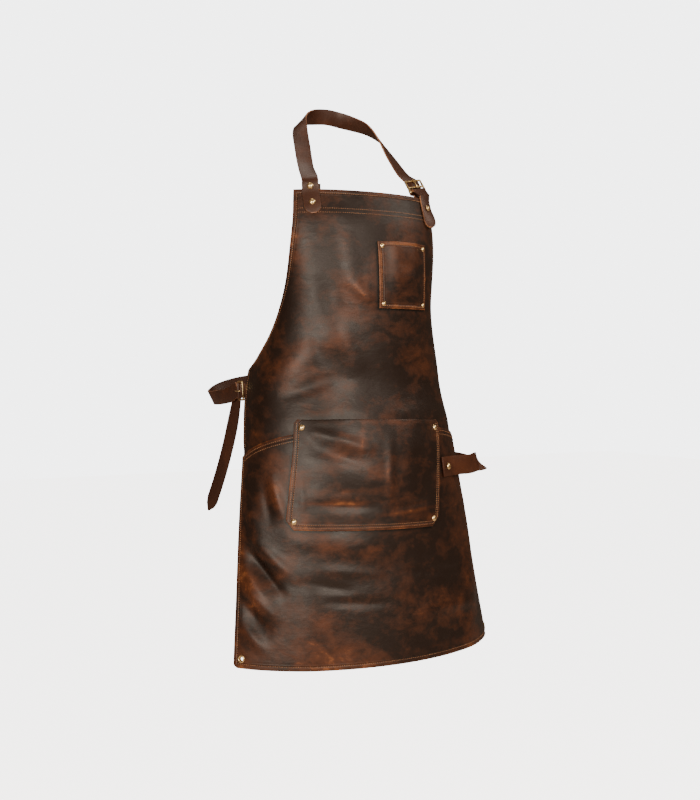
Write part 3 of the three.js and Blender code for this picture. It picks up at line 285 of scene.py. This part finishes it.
def bib_stand(share, level):
    return -LAP_DEPTH * smooth(1 - (level - seam_level(share) - LAP_GAP) / LAP_EASE)


def add_piece(name, form, materials):
    mesh = bpy.data.meshes.new(name)
    form.to_mesh(mesh)
    form.free()
    for material in materials:
        mesh.materials.append(material)
    mesh.shade_smooth()
    piece = bpy.data.objects.new(name, mesh)
    bpy.context.collection.objects.link(piece)
    return piece


def cut_sheet(name, columns, rows, place, materials):
    form = bmesh.new()
    bmesh.ops.create_grid(form, x_segments=columns, y_segments=rows, size=1)
    form.verts.ensure_lookup_table()
    grid = np.array([vertex.co[:2] for vertex in form.verts])
    points, values = place(grid[:, 0], grid[:, 1])
    for vertex, point in zip(form.verts, points):
        vertex.co = point
    cut = values.pop("cut", np.zeros(len(grid), bool))
    bmesh.ops.delete(form, geom=[vertex for vertex, away in zip(form.verts, cut) if away], context="VERTS")
    values = {key: value[~cut] for key, value in values.items()}
    form.normal_update()
    piece = add_piece(name, form, materials)
    mesh = piece.data
    for key, value in values.items():
        layer = mesh.attributes.new(key, "FLOAT", "POINT")
        layer.data.foreach_set("value", np.asarray(value, np.float32))
    flat = mesh.uv_layers.new(name="flat")
    corners = np.zeros(len(mesh.loops), np.int32)
    mesh.loops.foreach_get("vertex_index", corners)
    uv = np.stack([values["across"], values["level"]], axis=1)[corners] / 1000
    flat.data.foreach_set("uv", uv.ravel().astype(np.float32))
    wall = piece.modifiers.new("wall", "SOLIDIFY")
    wall.thickness = 2 * LEATHER / 1000
    wall.offset = -1
    wall.use_even_offset = True
    group = piece.vertex_groups.new(name="turned")
    for index, share in enumerate(values["thick"]):
        group.add([index], float(share), "REPLACE")
    wall.vertex_group = "turned"
    wall.material_offset = 1
    wall.material_offset_rim = 2
    rim = piece.modifiers.new("rim", "BEVEL")
    rim.width = 0.0007
    rim.segments = 2
    rim.limit_method = "ANGLE"
    rim.angle_limit = math.radians(50)
    rim.material = -1
    return piece


def worn(across, level, patches):
    value = np.zeros(len(across))
    for name, x, z, wide, tall, turn, amount in patches:
        c, s = math.cos(math.radians(turn)), math.sin(math.radians(turn))
        dx, dz = across - x, level - z
        u, v = (dx * c + dz * s) / wide, (dz * c - dx * s) / tall
        value += amount * np.exp(-(u * u + v * v))
    return value


# Waxed leather shows a dark chocolate face that turns orange brown where it is bent or rubbed. The pattern
# follows the flat leather, the edge bands follow the distance to the cut edges, and on the panels a painted
# shadow darkens the leather round the pockets.
def waxed_leather(name, dark, warm, bright, roughness, object_space=False, shaded_by=()):
    material, tree, shader = new_material(name)

    def node(kind, **settings):
        made = tree.nodes.new(kind)
        for key, setting in settings.items():
            setattr(made, key, setting)
        return made

    def value(kind, a, b):
        made = tree.nodes.new("ShaderNodeMath")
        made.operation = kind
        for socket, source in zip(made.inputs, (a, b)):
            if isinstance(source, (int, float)):
                socket.default_value = source
            else:
                tree.links.new(source, socket)
        return made.outputs[0]

    def ramp(source, stops):
        made = tree.nodes.new("ShaderNodeValToRGB")
        while len(made.color_ramp.elements) < len(stops):
            made.color_ramp.elements.new(0.5)
        for element, (at, shade) in zip(made.color_ramp.elements, stops):
            element.position = at
            element.color = (shade, shade, shade, 1) if isinstance(shade, float) else (*shade, 1)
        tree.links.new(source, made.inputs[0])
        return made.outputs[0]

    def noise(scale, detail, rough, kind="FBM", stretch=(1, 1, 1), distortion=0.0):
        mapping = node("ShaderNodeMapping")
        mapping.inputs["Scale"].default_value = stretch
        tree.links.new(where, mapping.inputs["Vector"])
        made = node("ShaderNodeTexNoise", noise_type=kind)
        made.inputs["Scale"].default_value = scale
        made.inputs["Detail"].default_value = detail
        made.inputs["Roughness"].default_value = rough
        made.inputs["Distortion"].default_value = distortion
        tree.links.new(mapping.outputs[0], made.inputs["Vector"])
        return made.outputs["Fac"]

    if object_space:
        where = node("ShaderNodeTexCoord").outputs["Object"]
    else:
        where = node("ShaderNodeUVMap", uv_map="flat").outputs["UV"]
    broad = noise(7.5, 4, 0.56, stretch=(1, 1.35, 1), distortion=0.35)
    cloudy = noise(30, 6, 0.66, stretch=(1, 1.25, 1), distortion=0.35)
    fine = noise(420, 3, 0.6)
    wrinkle = noise(62, 5, 0.6, kind="RIDGED_MULTIFRACTAL", distortion=0.7)
    streak = noise(13, 7, 0.7, stretch=(1, 2.4, 1), distortion=0.5)

    patch = value("ADD", value("MULTIPLY", broad, 0.66), value("MULTIPLY", cloudy, 0.34))
    rub = value("MULTIPLY", ramp(patch, [(0.44, 0.0), (0.62, 1.0)]), 0.60)
    rub = value("ADD", rub, value("MULTIPLY", ramp(streak, [(0.54, 0.0), (0.72, 1.0)]), 0.36))
    rub = value("ADD", rub, value("MULTIPLY", value("SUBTRACT", wrinkle, 0.55), 0.26))
    rub = value("ADD", rub, value("MULTIPLY", value("SUBTRACT", cloudy, 0.5), 0.35))
    height = value("ADD", value("MULTIPLY", fine, 0.12), value("MULTIPLY", wrinkle, 0.32))
    if not object_space:
        wear = node("ShaderNodeAttribute", attribute_name="wear").outputs["Fac"]
        side = node("ShaderNodeAttribute", attribute_name="side").outputs["Fac"]
        foot = node("ShaderNodeAttribute", attribute_name="foot").outputs["Fac"]
        rub = value("ADD", rub, value("MULTIPLY", wear, value("MULTIPLY", cloudy, 1.15)))
        edge = value("MULTIPLY", value("MINIMUM", side, foot), 0.05)
        edge_rub = ramp(edge, [(0.0, 1.0), (0.07, 0.95), (0.12, 0.45), (0.38, 0.5), (0.5, 0.12), (1.0, 0.0)])
        patchy = value("ADD", value("MULTIPLY", cloudy, 0.9), 0.12)
        rub = value("ADD", rub, value("MULTIPLY", edge_rub, patchy))
        # Darker along the stitch grooves; the painted shadow round the pockets is multiplied into this
        # factor below.
        groove_darkening_and_painted_shadow = ramp(edge, [(0.0, 1.0), (0.30, 1.0), (0.40, 0.45), (0.5, 1.0)])
        dip = ramp(edge, [(0.30, 1.0), (0.37, 0.0), (0.43, 0.0), (0.52, 1.0), (0.62, 0.75), (0.8, 1.0)])
        height = value("ADD", height, value("MULTIPLY", dip, 1.3))
        # Painted shadow: a dark band painted on the panel just outside each pocket's outline, its corners
        # cut like the pocket's.
        if shaded_by:
            split = node("ShaderNodeSeparateXYZ")
            tree.links.new(where, split.inputs[0])
        for pocket in shaded_by:
            wide, tall = pocket["width"], pocket["height"]
            aside = value("ADD", value("MULTIPLY", split.outputs["X"], 1000), SHADE_SHIFT - pocket["shift"])
            above = value("ADD", value("MULTIPLY", split.outputs["Y"], 1000), SHADE_SHIFT - pocket["level"])
            above = value("ADD", above, value("MULTIPLY", aside, pocket["tilt"]))
            leaned = value("SUBTRACT", aside, value("MULTIPLY", above, pocket["lean"] / tall))
            aside = value("ABSOLUTE", leaned, 0)
            low = value("ABSOLUTE", above, 0)
            corner = value("SUBTRACT", value("ADD", aside, low), (wide + tall) / 2 - pocket["foot_corner"])
            out = value("MAXIMUM", value("SUBTRACT", aside, wide / 2), value("SUBTRACT", low, tall / 2))
            out = value("MULTIPLY", value("MAXIMUM", out, value("MULTIPLY", corner, 0.7)), 0.1)
            shade = ramp(out, [(0.0, 0.06), (0.14, 0.12), (0.42, 0.75), (0.8, 1.0)])
            groove_darkening_and_painted_shadow = value("MULTIPLY", groove_darkening_and_painted_shadow, shade)
    half_warm = tuple(0.55 * d + 0.45 * w for d, w in zip(dark, warm))
    tint = ramp(rub, [(0.0, dark), (0.34, half_warm), (0.72, warm), (1.0, bright)])
    # The colour is multiplied by the stitch groove darkening and, on the panels, the painted shadow.
    if not object_space:
        mix = node("ShaderNodeMix", data_type="RGBA", blend_type="MULTIPLY")
        mix.inputs["Factor"].default_value = 1.0
        tree.links.new(tint, mix.inputs["A"])
        tree.links.new(groove_darkening_and_painted_shadow, mix.inputs["B"])
        tint = mix.outputs["Result"]
    tree.links.new(tint, shader.inputs["Base Color"])
    rough = value("ADD", value("MULTIPLY", cloudy, 0.20), roughness)
    tree.links.new(value("ADD", rough, value("MULTIPLY", fine, 0.08)), shader.inputs["Roughness"])
    shader.inputs["Specular IOR Level"].default_value = 0.37
    shader.inputs["Specular Tint"].default_value = (1.0, 0.93, 0.85, 1)
    shader.inputs["Coat Weight"].default_value = 0.04
    shader.inputs["Coat Roughness"].default_value = 0.42
    bump = node("ShaderNodeBump")
    bump.inputs["Strength"].default_value = 0.6
    bump.inputs["Distance"].default_value = 0.0008
    tree.links.new(height, bump.inputs["Height"])
    swell = node("ShaderNodeBump")
    swell.inputs["Strength"].default_value = 0.55
    swell.inputs["Distance"].default_value = 0.0026
    tree.links.new(noise(21, 3, 0.5, stretch=(1, 1.7, 1)), swell.inputs["Height"])
    tree.links.new(swell.outputs[0], bump.inputs["Normal"])
    tree.links.new(bump.outputs[0], shader.inputs["Normal"])
    return material


def plain_leather(name, base, dark, rough, scale=300.0):
    material, tree, shader = new_material(name)
    where = tree.nodes.new("ShaderNodeTexCoord").outputs["Object"]
    broad = tree.nodes.new("ShaderNodeTexNoise")
    broad.inputs["Scale"].default_value = 45
    broad.inputs["Detail"].default_value = 6
    fibre = tree.nodes.new("ShaderNodeTexNoise")
    fibre.inputs["Scale"].default_value = scale
    fibre.inputs["Detail"].default_value = 4
    for texture in (broad, fibre):
        tree.links.new(where, texture.inputs["Vector"])
    colour = tree.nodes.new("ShaderNodeValToRGB")
    colour.color_ramp.elements[0].position = 0.36
    colour.color_ramp.elements[0].color = (*dark, 1)
    colour.color_ramp.elements[1].position = 0.66
    colour.color_ramp.elements[1].color = (*base, 1)
    tree.links.new(broad.outputs["Fac"], colour.inputs[0])
    tree.links.new(colour.outputs[0], shader.inputs["Base Color"])
    shader.inputs["Roughness"].default_value = rough
    bump = tree.nodes.new("ShaderNodeBump")
    bump.inputs["Strength"].default_value = 0.5
    bump.inputs["Distance"].default_value = 0.0005
    tree.links.new(fibre.outputs["Fac"], bump.inputs["Height"])
    tree.links.new(bump.outputs[0], shader.inputs["Normal"])
    return material


# The pockets' places on the panels, in millimetres. A painted shadow darkens the panel leather close round
# them, shifted by SHADE_SHIFT towards the wearer's right and down.
SHADE_SHIFT = 1.2
FRONT_POCKET = {"width": 322, "height": 204, "level": 355, "shift": -38, "lean": 33, "tilt": 0.019,
                "foot_corner": 17}
CHEST_POCKET = {"width": 124, "height": 129, "level": 737, "shift": 54, "lean": 0, "tilt": 0,
                "foot_corner": 0}
PANEL_TONES = ((0.0088, 0.0030, 0.0013), (0.068, 0.0186, 0.0055), (0.165, 0.052, 0.0155))
PANEL_ROUGHNESS = 0.35
# The panel material paints a shadow round both pockets; the pocket material paints none.
panel_face = waxed_leather("panel_leather", *PANEL_TONES, PANEL_ROUGHNESS,
                           shaded_by=(FRONT_POCKET, CHEST_POCKET))
pocket_face = waxed_leather("pocket_leather", *PANEL_TONES, PANEL_ROUGHNESS)
panel_flesh = plain_leather("panel_flesh_side", (0.18, 0.102, 0.062), (0.105, 0.058, 0.036), 0.85)
panel_edge = plain_leather("panel_cut_edge", (0.30, 0.135, 0.062), (0.13, 0.048, 0.021), 0.6)

PANEL_SIDES = (panel_face, panel_flesh, panel_edge)
WEAR_MOST = 1.2
EDGE_REACH = 40
TURNED_SIDE = 10
TURNED_HEM = 12
TOP_BAND = 42
# Each rubbed patch's name, its middle across and in level, its width, height, turn in degrees and strength.
BIB_WEAR = [
    ("upper right corner", -150, 880, 60, 22, 0, 0.35),
    ("right side below the arm", -165, 745, 14, 130, 2, 0.55),
    ("left side below the arm", 165, 745, 14, 130, -2, 0.45),
    ("right waist corner", -262, 575, 70, 20, -30, 0.65),
    ("left waist corner", 262, 575, 70, 20, 30, 0.5),
    ("chest crease", -45, 702, 16, 4, -35, 0.8),
    ("belly", -30, 560, 130, 26, 8, 0.22),
]


def bib_place(share, v):
    low = seam_level(share) - SEAM_LAP
    level = low + (LENGTH - low) * (v + 1) / 2
    half = half_width(level)
    across = share * half
    crease = fold_sum(CREASES, across, level)
    points = on_form(across, level, bib_stand(share, level) + crease)[0]
    side = half * (1 - np.abs(share))
    ridge = np.clip((fold_sum(FOLDS, across, level) + crease) / 4, -1, 1)
    return points, {
        "across": across,
        "level": level,
        "side": side,
        "foot": np.minimum(LENGTH - level, EDGE_REACH),
        "wear": np.clip(worn(across, level, BIB_WEAR) + 0.35 * ridge, 0, WEAR_MOST),
        "thick": np.where((side < TURNED_SIDE) | (level > LENGTH - TOP_BAND), 1.0, 0.5),
    }


bib = cut_sheet("bib", 128, 108, bib_place, PANEL_SIDES)
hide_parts("bib_panel")
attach(bib, "root")


def flat_area(levels, halves):
    return float(np.sum((levels[1:] - levels[:-1]) * (halves[1:] + halves[:-1]))) / 1e6


BIB_FOOT = 415
bib_levels = np.linspace(BIB_FOOT, LENGTH, 200)
flat_area(bib_levels, half_width(bib_levels))

# Skirt: the lower panel of the same leather, lapped over the bib's foot and sewn to it in two rows. Its
# sides and hem are turned, and its outline widens to the hem's rounded corners. The grid is drawn onto a
# small circle round each eyelet and its middle is cut out, so that the ring covers the cut.
SKIRT_COLUMNS, SKIRT_ROWS = 136, 100
SINGLE_LAP = 30
CREASE_FADE = 45
EYELET_LEVEL = 17
EYELET_CUT = 5.25
SKIRT_WEAR = [
    ("right edge", -312, 250, 12, 240, 1, 0.5),
    ("left edge", 312, 250, 12, 240, -1, 0.4),
    ("right knee crease", -270, 205, 34, 5, -20, 0.95),
    ("right knee fold", -250, 178, 60, 6, -22, 0.6),
    ("right shin crease", -285, 110, 34, 5, -20, 0.8),
    ("hem scuff right", -150, 26, 60, 20, 4, 0.6),
    ("hem scuff middle", 60, 20, 160, 12, 1, 0.35),
    ("below the pocket", -60, 215, 140, 16, 3, 0.32),
    ("thigh", -220, 330, 34, 60, 12, 0.25),
    ("left shin", 170, 120, 120, 26, 8, 0.2),
]


def skirt_crease(across, level):
    flat = smooth((half_width(level) - np.abs(across)) / CREASE_FADE)
    folds = fold_sum(FOLDS, across, level)
    return flat * (folds + fold_sum(CREASES, across, level)) - folds


def eyelet_spot(side):
    return side * (float(half_width(EYELET_LEVEL)) - EYELET_LEVEL), EYELET_LEVEL


def skirt_place(u, v):
    high = seam_level(u)
    level = high * (v + 1) / 2
    across = u * half_width(level)
    middle = np.zeros(len(u), bool)
    for side in (-1, 1):
        x, z = eyelet_spot(side)
        nearest = int(np.argmin(np.hypot(across - x, level - z)))
        columns = np.round((u - u[nearest]) * SKIRT_COLUMNS / 2)
        rows = np.round((v - v[nearest]) * SKIRT_ROWS / 2)
        around = (np.abs(columns) <= 1) & (np.abs(rows) <= 1)
        angle = np.arctan2(rows[around], columns[around])
        across[around] = x + EYELET_CUT * np.cos(angle)
        level[around] = z + EYELET_CUT * np.sin(angle)
        middle[nearest] = True
    half = half_width(level)
    share = across / half
    crease = skirt_crease(across, level)
    points = on_form(across, level, crease)[0]
    side = half * (1 - np.abs(share))
    turned = (side < TURNED_SIDE) & (level < high - SINGLE_LAP)
    ridge = np.clip((fold_sum(FOLDS, across, level) + crease) / 6, -1, 1)
    return points, {
        "across": across,
        "level": level,
        "side": side,
        "foot": np.minimum(level, high - level),
        "wear": np.clip(worn(across, level, SKIRT_WEAR) + 0.4 * ridge, 0, WEAR_MOST),
        "thick": np.where(turned | (level < TURNED_HEM), 1.0, 0.5),
        "cut": middle,
    }


skirt = cut_sheet("skirt", SKIRT_COLUMNS, SKIRT_ROWS, skirt_place, PANEL_SIDES)
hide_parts("skirt_panel")
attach(skirt, "root")
SKIRT_TOP = 431
skirt_levels = np.linspace(0, SKIRT_TOP, 200)
flat_area(skirt_levels, half_width(skirt_levels))

# Pockets: flat walls of the panel leather, sewn down at the sides and foot, open at the top and standing
# off a little with room for a hand or a notebook. Rivets hold their corners.
POCKET_SEAT = 1.1
BARE_MOUTH = 60.0
POCKET_CREASES = [
    ("upper swell", -0.48, 0.486, -0.16, 0.448, 0.013, 0.0050),
    ("below the swell", -0.46, 0.452, -0.20, 0.420, 0.012, -0.0030),
    ("side swell", -0.56, 0.420, -0.55, 0.330, 0.008, 0.0024),
    ("foot valley", -0.50, 0.334, -0.14, 0.328, 0.010, -0.0036),
    ("foot swell", -0.50, 0.304, -0.10, 0.300, 0.010, 0.0030),
    ("left foot valley", 0.02, 0.326, 0.30, 0.334, 0.008, -0.0022),
    ("middle ridge", -0.02, 0.470, -0.04, 0.340, 0.010, 0.0018),
]


def pocket_maker(pocket, room, side_seam, top_corner, patches, sewn_mouth):
    width, height, lean = pocket["width"], pocket["height"], pocket["lean"]

    def corner_cut(up):
        at_foot = np.maximum(pocket["foot_corner"] - up * height, 0)
        return at_foot + np.maximum(top_corner - (1 - up) * height, 0)

    def local(share, up):
        across = share * (width / 2 - corner_cut(up))
        level = pocket["level"] + (up - 0.5) * height - pocket["tilt"] * across
        return pocket["shift"] + lean * (up - 0.5) + across, level

    def stand(share, up):
        seam = side_seam / (width / 2)
        from_side = smooth((1 - seam - np.abs(share)) / 0.55)
        from_foot = smooth((up - side_seam / height) / 0.5)
        return POCKET_SEAT + room * from_side * from_foot * (0.75 + 0.25 * up)

    def place(share, v):
        up = (v + 1) / 2
        across, level = local(share, up)
        free = smooth(up * 5 - 0.3) * smooth((0.92 - np.abs(share)) * 6)
        wave = room * 0.06 * np.sin(up * 17 + share * 3)
        ripple = free * (wave + fold_sum(POCKET_CREASES, across, level))
        points = on_form(across, level, stand(share, up) + LEATHER + ripple)[0]
        from_mouth = (1 - up) * height + 1 if sewn_mouth else BARE_MOUTH
        return points, {
            "across": across,
            "level": level,
            "side": (1 - np.abs(share)) * (width / 2 - corner_cut(up)),
            "foot": np.where(up < 0.5, up * height, from_mouth),
            "wear": np.clip(worn(share * width / 2, (up - 0.5) * height, patches), 0, WEAR_MOST),
            "thick": np.full(len(up), 0.5),
        }

    return local, stand, place


FRONT_POCKET_WEAR = [
    ("mouth", -10, 96, 150, 5, 0, 0.55),
    ("right vertical mark", -34, 70, 6, 24, -4, 0.9),
    ("left vertical mark", 22, 0, 4, 34, 2, 0.7),
    ("long diagonal rub", -40, 20, 90, 12, -22, 0.35),
    ("foot crease right", -70, -52, 52, 3.5, 1, 1.1),
    ("foot band right", -60, -30, 56, 7, 2, 0.4),
    ("foot crease left", 84, -70, 60, 3.5, 5, 1.1),
    ("right lower corner", -140, -88, 18, 14, 0, 0.5),
    ("left lower corner", 140, -88, 18, 14, 0, 0.5),
]
POCKET_SIDES = (pocket_face, panel_flesh, panel_edge)
front_local, front_stand, front_place = pocket_maker(
    FRONT_POCKET, room=9, side_seam=14, top_corner=7, patches=FRONT_POCKET_WEAR, sewn_mouth=False)
front_pocket = cut_sheet("front_pocket_wall", 96, 62, front_place, POCKET_SIDES)
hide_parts("front_pocket")
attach(front_pocket, "root")

CHEST_POCKET_WEAR = [
    ("mouth", 0, 60, 60, 4, 0, 0.6),
    ("foot", 0, -58, 56, 5, 0, 0.5),
    ("right side", -57, 0, 4, 56, 0, 0.55),
    ("left side", 57, 0, 4, 56, 0, 0.5),
    ("middle", 5, 5, 40, 26, 20, 0.18),
]
chest_local, chest_stand, chest_place = pocket_maker(
    CHEST_POCKET, room=6, side_seam=10, top_corner=0, patches=CHEST_POCKET_WEAR, sewn_mouth=True)
chest_pocket = cut_sheet("chest_pocket_wall", 54, 56, chest_place, POCKET_SIDES)
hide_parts("chest_pocket")
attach(chest_pocket, "root")

# Straps: smoother reddish leather with lighter cut edges. The neck strap is riveted at the wearer's right,
# the waist strap is sewn at the left and hangs its long free end from the buckle at the right. The faces
# that are shorter and lower than EDGE_STEP and EDGE_TALL are the cut edges.
STRAP_TONES = ((0.038, 0.0110, 0.0044), (0.076, 0.0220, 0.0082), (0.128, 0.039, 0.0138))
STRAP_ROUGHNESS = 0.33
SAME_SPOT = 0.00002
EDGE_STEP = 0.0135
EDGE_TALL = 0.0018
strap_face = waxed_leather("strap_leather", *STRAP_TONES, STRAP_ROUGHNESS, object_space=True)
strap_edge = plain_leather("strap_cut_edge", (0.32, 0.135, 0.058), (0.17, 0.068, 0.032), 0.55)


def form_of(node):
    form = bmesh.new()
    form.from_mesh(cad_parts[node].data)
    bmesh.ops.remove_doubles(form, verts=form.verts, dist=SAME_SPOT)
    return form


def soften(form, angle, width):
    rims = [edge for edge in form.edges
            if len(edge.link_faces) == 2 and edge.calc_face_angle(0) > math.radians(angle)]
    bmesh.ops.bevel(form, geom=rims, offset=width, offset_type="OFFSET", segments=2, profile=0.5,
                    affect="EDGES", material=-1, clamp_overlap=True)


for node in ("neck_strap", "neck_buckle_tab", "waist_strap", "waist_buckle_tab", "tool_loop",
             "neck_strap_backing"):
    form = form_of(node)
    for face in form.faces:
        longest = max(edge.calc_length() for edge in face.edges)
        face.material_index = int(longest < EDGE_STEP and face.calc_area() / longest < EDGE_TALL)
    soften(form, 55, 0.0005)
    strap = add_piece(node + "_leather", form, (strap_face, strap_edge))
    strap.data.set_sharp_from_angle(angle=math.radians(38))
    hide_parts(node)
    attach(strap, "root")

# Buckles, rivets and eyelets: pale worn brass. The buckles are cast frames, the rivets are domed heads
# hammered over a burr, and the eyelets are rolled rings.
brass, brass_tree, brass_shader = new_material("worn_brass")
brass_where = brass_tree.nodes.new("ShaderNodeTexCoord").outputs["Object"]
brass_noise = brass_tree.nodes.new("ShaderNodeTexNoise")
brass_noise.inputs["Scale"].default_value = 260
brass_noise.inputs["Detail"].default_value = 5
brass_tree.links.new(brass_where, brass_noise.inputs["Vector"])
brass_tone = brass_tree.nodes.new("ShaderNodeValToRGB")
brass_tone.color_ramp.elements[0].position = 0.3
brass_tone.color_ramp.elements[0].color = (0.42, 0.26, 0.10, 1)
brass_tone.color_ramp.elements[1].position = 0.6
brass_tone.color_ramp.elements[1].color = (0.86, 0.66, 0.35, 1)
brass_rough = brass_tree.nodes.new("ShaderNodeMapRange")
brass_rough.inputs["To Min"].default_value = 0.42
brass_rough.inputs["To Max"].default_value = 0.22
brass_bump = brass_tree.nodes.new("ShaderNodeBump")
brass_bump.inputs["Strength"].default_value = 0.25
brass_bump.inputs["Distance"].default_value = 0.0002
brass_tree.links.new(brass_noise.outputs["Fac"], brass_tone.inputs[0])
brass_tree.links.new(brass_noise.outputs["Fac"], brass_rough.inputs["Value"])
brass_tree.links.new(brass_noise.outputs["Fac"], brass_bump.inputs["Height"])
brass_tree.links.new(brass_tone.outputs[0], brass_shader.inputs["Base Color"])
brass_tree.links.new(brass_rough.outputs[0], brass_shader.inputs["Roughness"])
brass_tree.links.new(brass_bump.outputs[0], brass_shader.inputs["Normal"])
brass_shader.inputs["Metallic"].default_value = 1.0


def add_brass(form, name, node):
    piece = add_piece(name, form, [brass])
    piece.data.set_sharp_from_angle(angle=math.radians(42))
    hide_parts(node)
    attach(piece, "root")


for node in ("neck_buckle_frame", "neck_buckle_tongue", "waist_buckle_frame", "waist_buckle_tongue"):
    form = form_of(node)
    bmesh.ops.dissolve_limit(form, angle_limit=math.radians(1), verts=form.verts, edges=form.edges)
    soften(form, 28, 0.00035)
    add_brass(form, node + "_cast", node)


def rivet_axis(node):
    form = form_of(node)
    poles = sorted(form.verts, key=lambda vertex: -len(vertex.link_edges))[:2]
    reach = [max((edge.other_vert(pole).co - pole.co).length for edge in pole.link_edges) for pole in poles]
    head, burr = (poles[0], poles[1]) if reach[0] < reach[1] else (poles[1], poles[0])
    foot, tall = burr.co.copy(), (head.co - burr.co).length
    axis = (head.co - burr.co).normalized()
    radius = max((vertex.co - foot - axis * axis.dot(vertex.co - foot)).length for vertex in form.verts)
    form.free()
    return foot, axis, tall, radius


def spun(profile, place, axis, steps):
    form = bmesh.new()
    verts = [form.verts.new((r, 0, z)) for r, z in profile]
    edges = [form.edges.new(pair) for pair in zip(verts, verts[1:])]
    bmesh.ops.spin(form, geom=verts + edges, cent=(0, 0, 0), axis=(0, 0, 1), angle=math.tau, steps=steps,
                   use_merge=True)
    bmesh.ops.remove_doubles(form, verts=form.verts, dist=0.000005)
    bmesh.ops.recalc_face_normals(form, faces=form.faces)
    turn = axis.to_track_quat("Z", "Y").to_matrix().to_4x4()
    bmesh.ops.transform(form, matrix=Matrix.Translation(place) @ turn, verts=form.verts)
    return form


RIVET_SHANK = 0.0020
for node in sorted(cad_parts):
    if "rivet" not in node:
        continue
    foot, axis, tall, r = rivet_axis(node)
    base = tall - 0.56 * r
    profile = [
        (0, tall), (0.30 * r, tall - 0.03 * r), (0.56 * r, tall - 0.12 * r), (0.78 * r, tall - 0.27 * r),
        (0.92 * r, tall - 0.42 * r), (0.99 * r, base + 0.03 * r), (r, base), (0.96 * r, base - 0.0002),
        (RIVET_SHANK, base - 0.0002), (RIVET_SHANK, 0.0012), (0.70 * r, 0.0012), (0.78 * r, 0.0009),
        (0.78 * r, 0.0004), (0.55 * r, 0.0001), (0, 0),
    ]
    add_brass(spun(profile, foot, axis, 24), node + "_dome", node)

for node, side in (("eyelet_right", -1), ("eyelet_left", 1)):
    point, face = on_form(*eyelet_spot(side))
    ring = [
        (3.9, -6.3), (6.2, -6.3), (6.2, -5.3), (4.8, -5.3), (4.8, 0.2), (7.2, 0.25), (7.3, 0.6), (6.9, 1.2),
        (6.1, 1.6), (5.2, 1.55), (4.4, 1.0), (3.9, 0.1), (3.9, -6.3),
    ]
    form = spun([(a / 1000, b / 1000) for a, b in ring], Vector(point[0]), Vector(face[0]), 28)
    add_brass(form, node + "_ring", node)

# Stitches: thick waxed thread in an orange brown, laid in short even stitches along the edges of the
# panels and pockets, in double rows at the seam, the top band and the pockets' sides and foot.
STITCH_PITCH = 0.0043
STITCH_SHARE = 0.80
STITCH_RADIUS = 0.00060
thread = plain_leather("waxed_thread", (0.36, 0.17, 0.075), (0.20, 0.085, 0.038), 0.6, scale=900.0)


def sewing(name, rows):
    form = bmesh.new()
    for points, faces in rows:
        steps = np.linalg.norm(np.diff(points, axis=0), axis=1)
        walked = np.concatenate([[0], np.cumsum(steps)])
        count = max(int(walked[-1] / STITCH_PITCH), 1)
        pitch = walked[-1] / count
        for k in range(count):
            ends = [(k + 0.5 + way * STITCH_SHARE / 2) * pitch for way in (-1, 1)]
            a, b = (Vector([np.interp(at, walked, column) for column in points.T]) for at in ends)
            nearest = min(int(np.searchsorted(walked, (k + 0.5) * pitch)), len(points) - 1)
            out = Vector(faces[nearest])
            along = (b - a).normalized()
            across = along.cross(out).normalized()
            out = across.cross(along).normalized()
            half = (b - a).length / 2
            basis = Matrix((
                (along.x * half, across.x * STITCH_RADIUS, out.x * STITCH_RADIUS, 0),
                (along.y * half, across.y * STITCH_RADIUS, out.y * STITCH_RADIUS, 0),
                (along.z * half, across.z * STITCH_RADIUS, out.z * STITCH_RADIUS, 0),
                (0, 0, 0, 1),
            ))
            place = Matrix.Translation((a + b) / 2 + out * STITCH_RADIUS * 0.25)
            bmesh.ops.create_icosphere(form, subdivisions=1, radius=1, matrix=place @ basis)
    piece = add_piece(name, form, [thread])
    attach(piece, "root")


STITCH_INSET = 8
panel_rows = []
for side in (-1, 1):
    level = np.linspace(404, LENGTH - STITCH_INSET, 140)
    across = side * (half_width(level) - STITCH_INSET)
    crease = fold_sum(CREASES, across, level)
    panel_rows.append(on_form(across, level, bib_stand(side * 0.98, level) + crease))
    level = np.linspace(9, 398, 120)
    across = side * (half_width(level) - STITCH_INSET)
    panel_rows.append(on_form(across, level, skirt_crease(across, level)))
for level in (LENGTH - STITCH_INSET, 862, 854, STITCH_INSET):
    reach = float(half_width(level)) - STITCH_INSET - 1
    across = np.linspace(-reach, reach, 150)
    crease = fold_sum(CREASES, across, level) if level > WAIST_LEVEL else skirt_crease(across, level)
    panel_rows.append(on_form(across, level, crease))
for drop in (6, 13):
    share = np.linspace(-0.965, 0.965, 160)
    level = seam_level(share) - drop
    across = share * half_width(level)
    panel_rows.append(on_form(across, level, skirt_crease(across, level)))
sewing("panel_stitches", panel_rows)


def pocket_rows(pocket, local, stand, insets, mouth):
    rows = []
    for inset in insets:
        x = 1 - inset / (pocket["width"] / 2)
        low, high = inset / pocket["height"], 1 - mouth / pocket["height"]
        share = np.concatenate([np.full(40, -x), np.linspace(-x, x, 70), np.full(40, x)])
        up = np.concatenate([np.linspace(high, low, 40), np.full(70, low), np.linspace(low, high, 40)])
        rows.append(on_form(*local(share, up), stand(share, up) + LEATHER))
    return rows


sewing("front_pocket_stitches", pocket_rows(FRONT_POCKET, front_local, front_stand, (5, 10), 6))
mouth_share = np.linspace(-0.9, 0.9, 80)
mouth_up = np.full(80, 1 - 6 / CHEST_POCKET["height"])
mouth_row = on_form(*chest_local(mouth_share, mouth_up), chest_stand(mouth_share, mouth_up) + LEATHER + 0.1)
sewing("chest_pocket_stitches",
       pocket_rows(CHEST_POCKET, chest_local, chest_stand, (5,), 5) + [mouth_row])
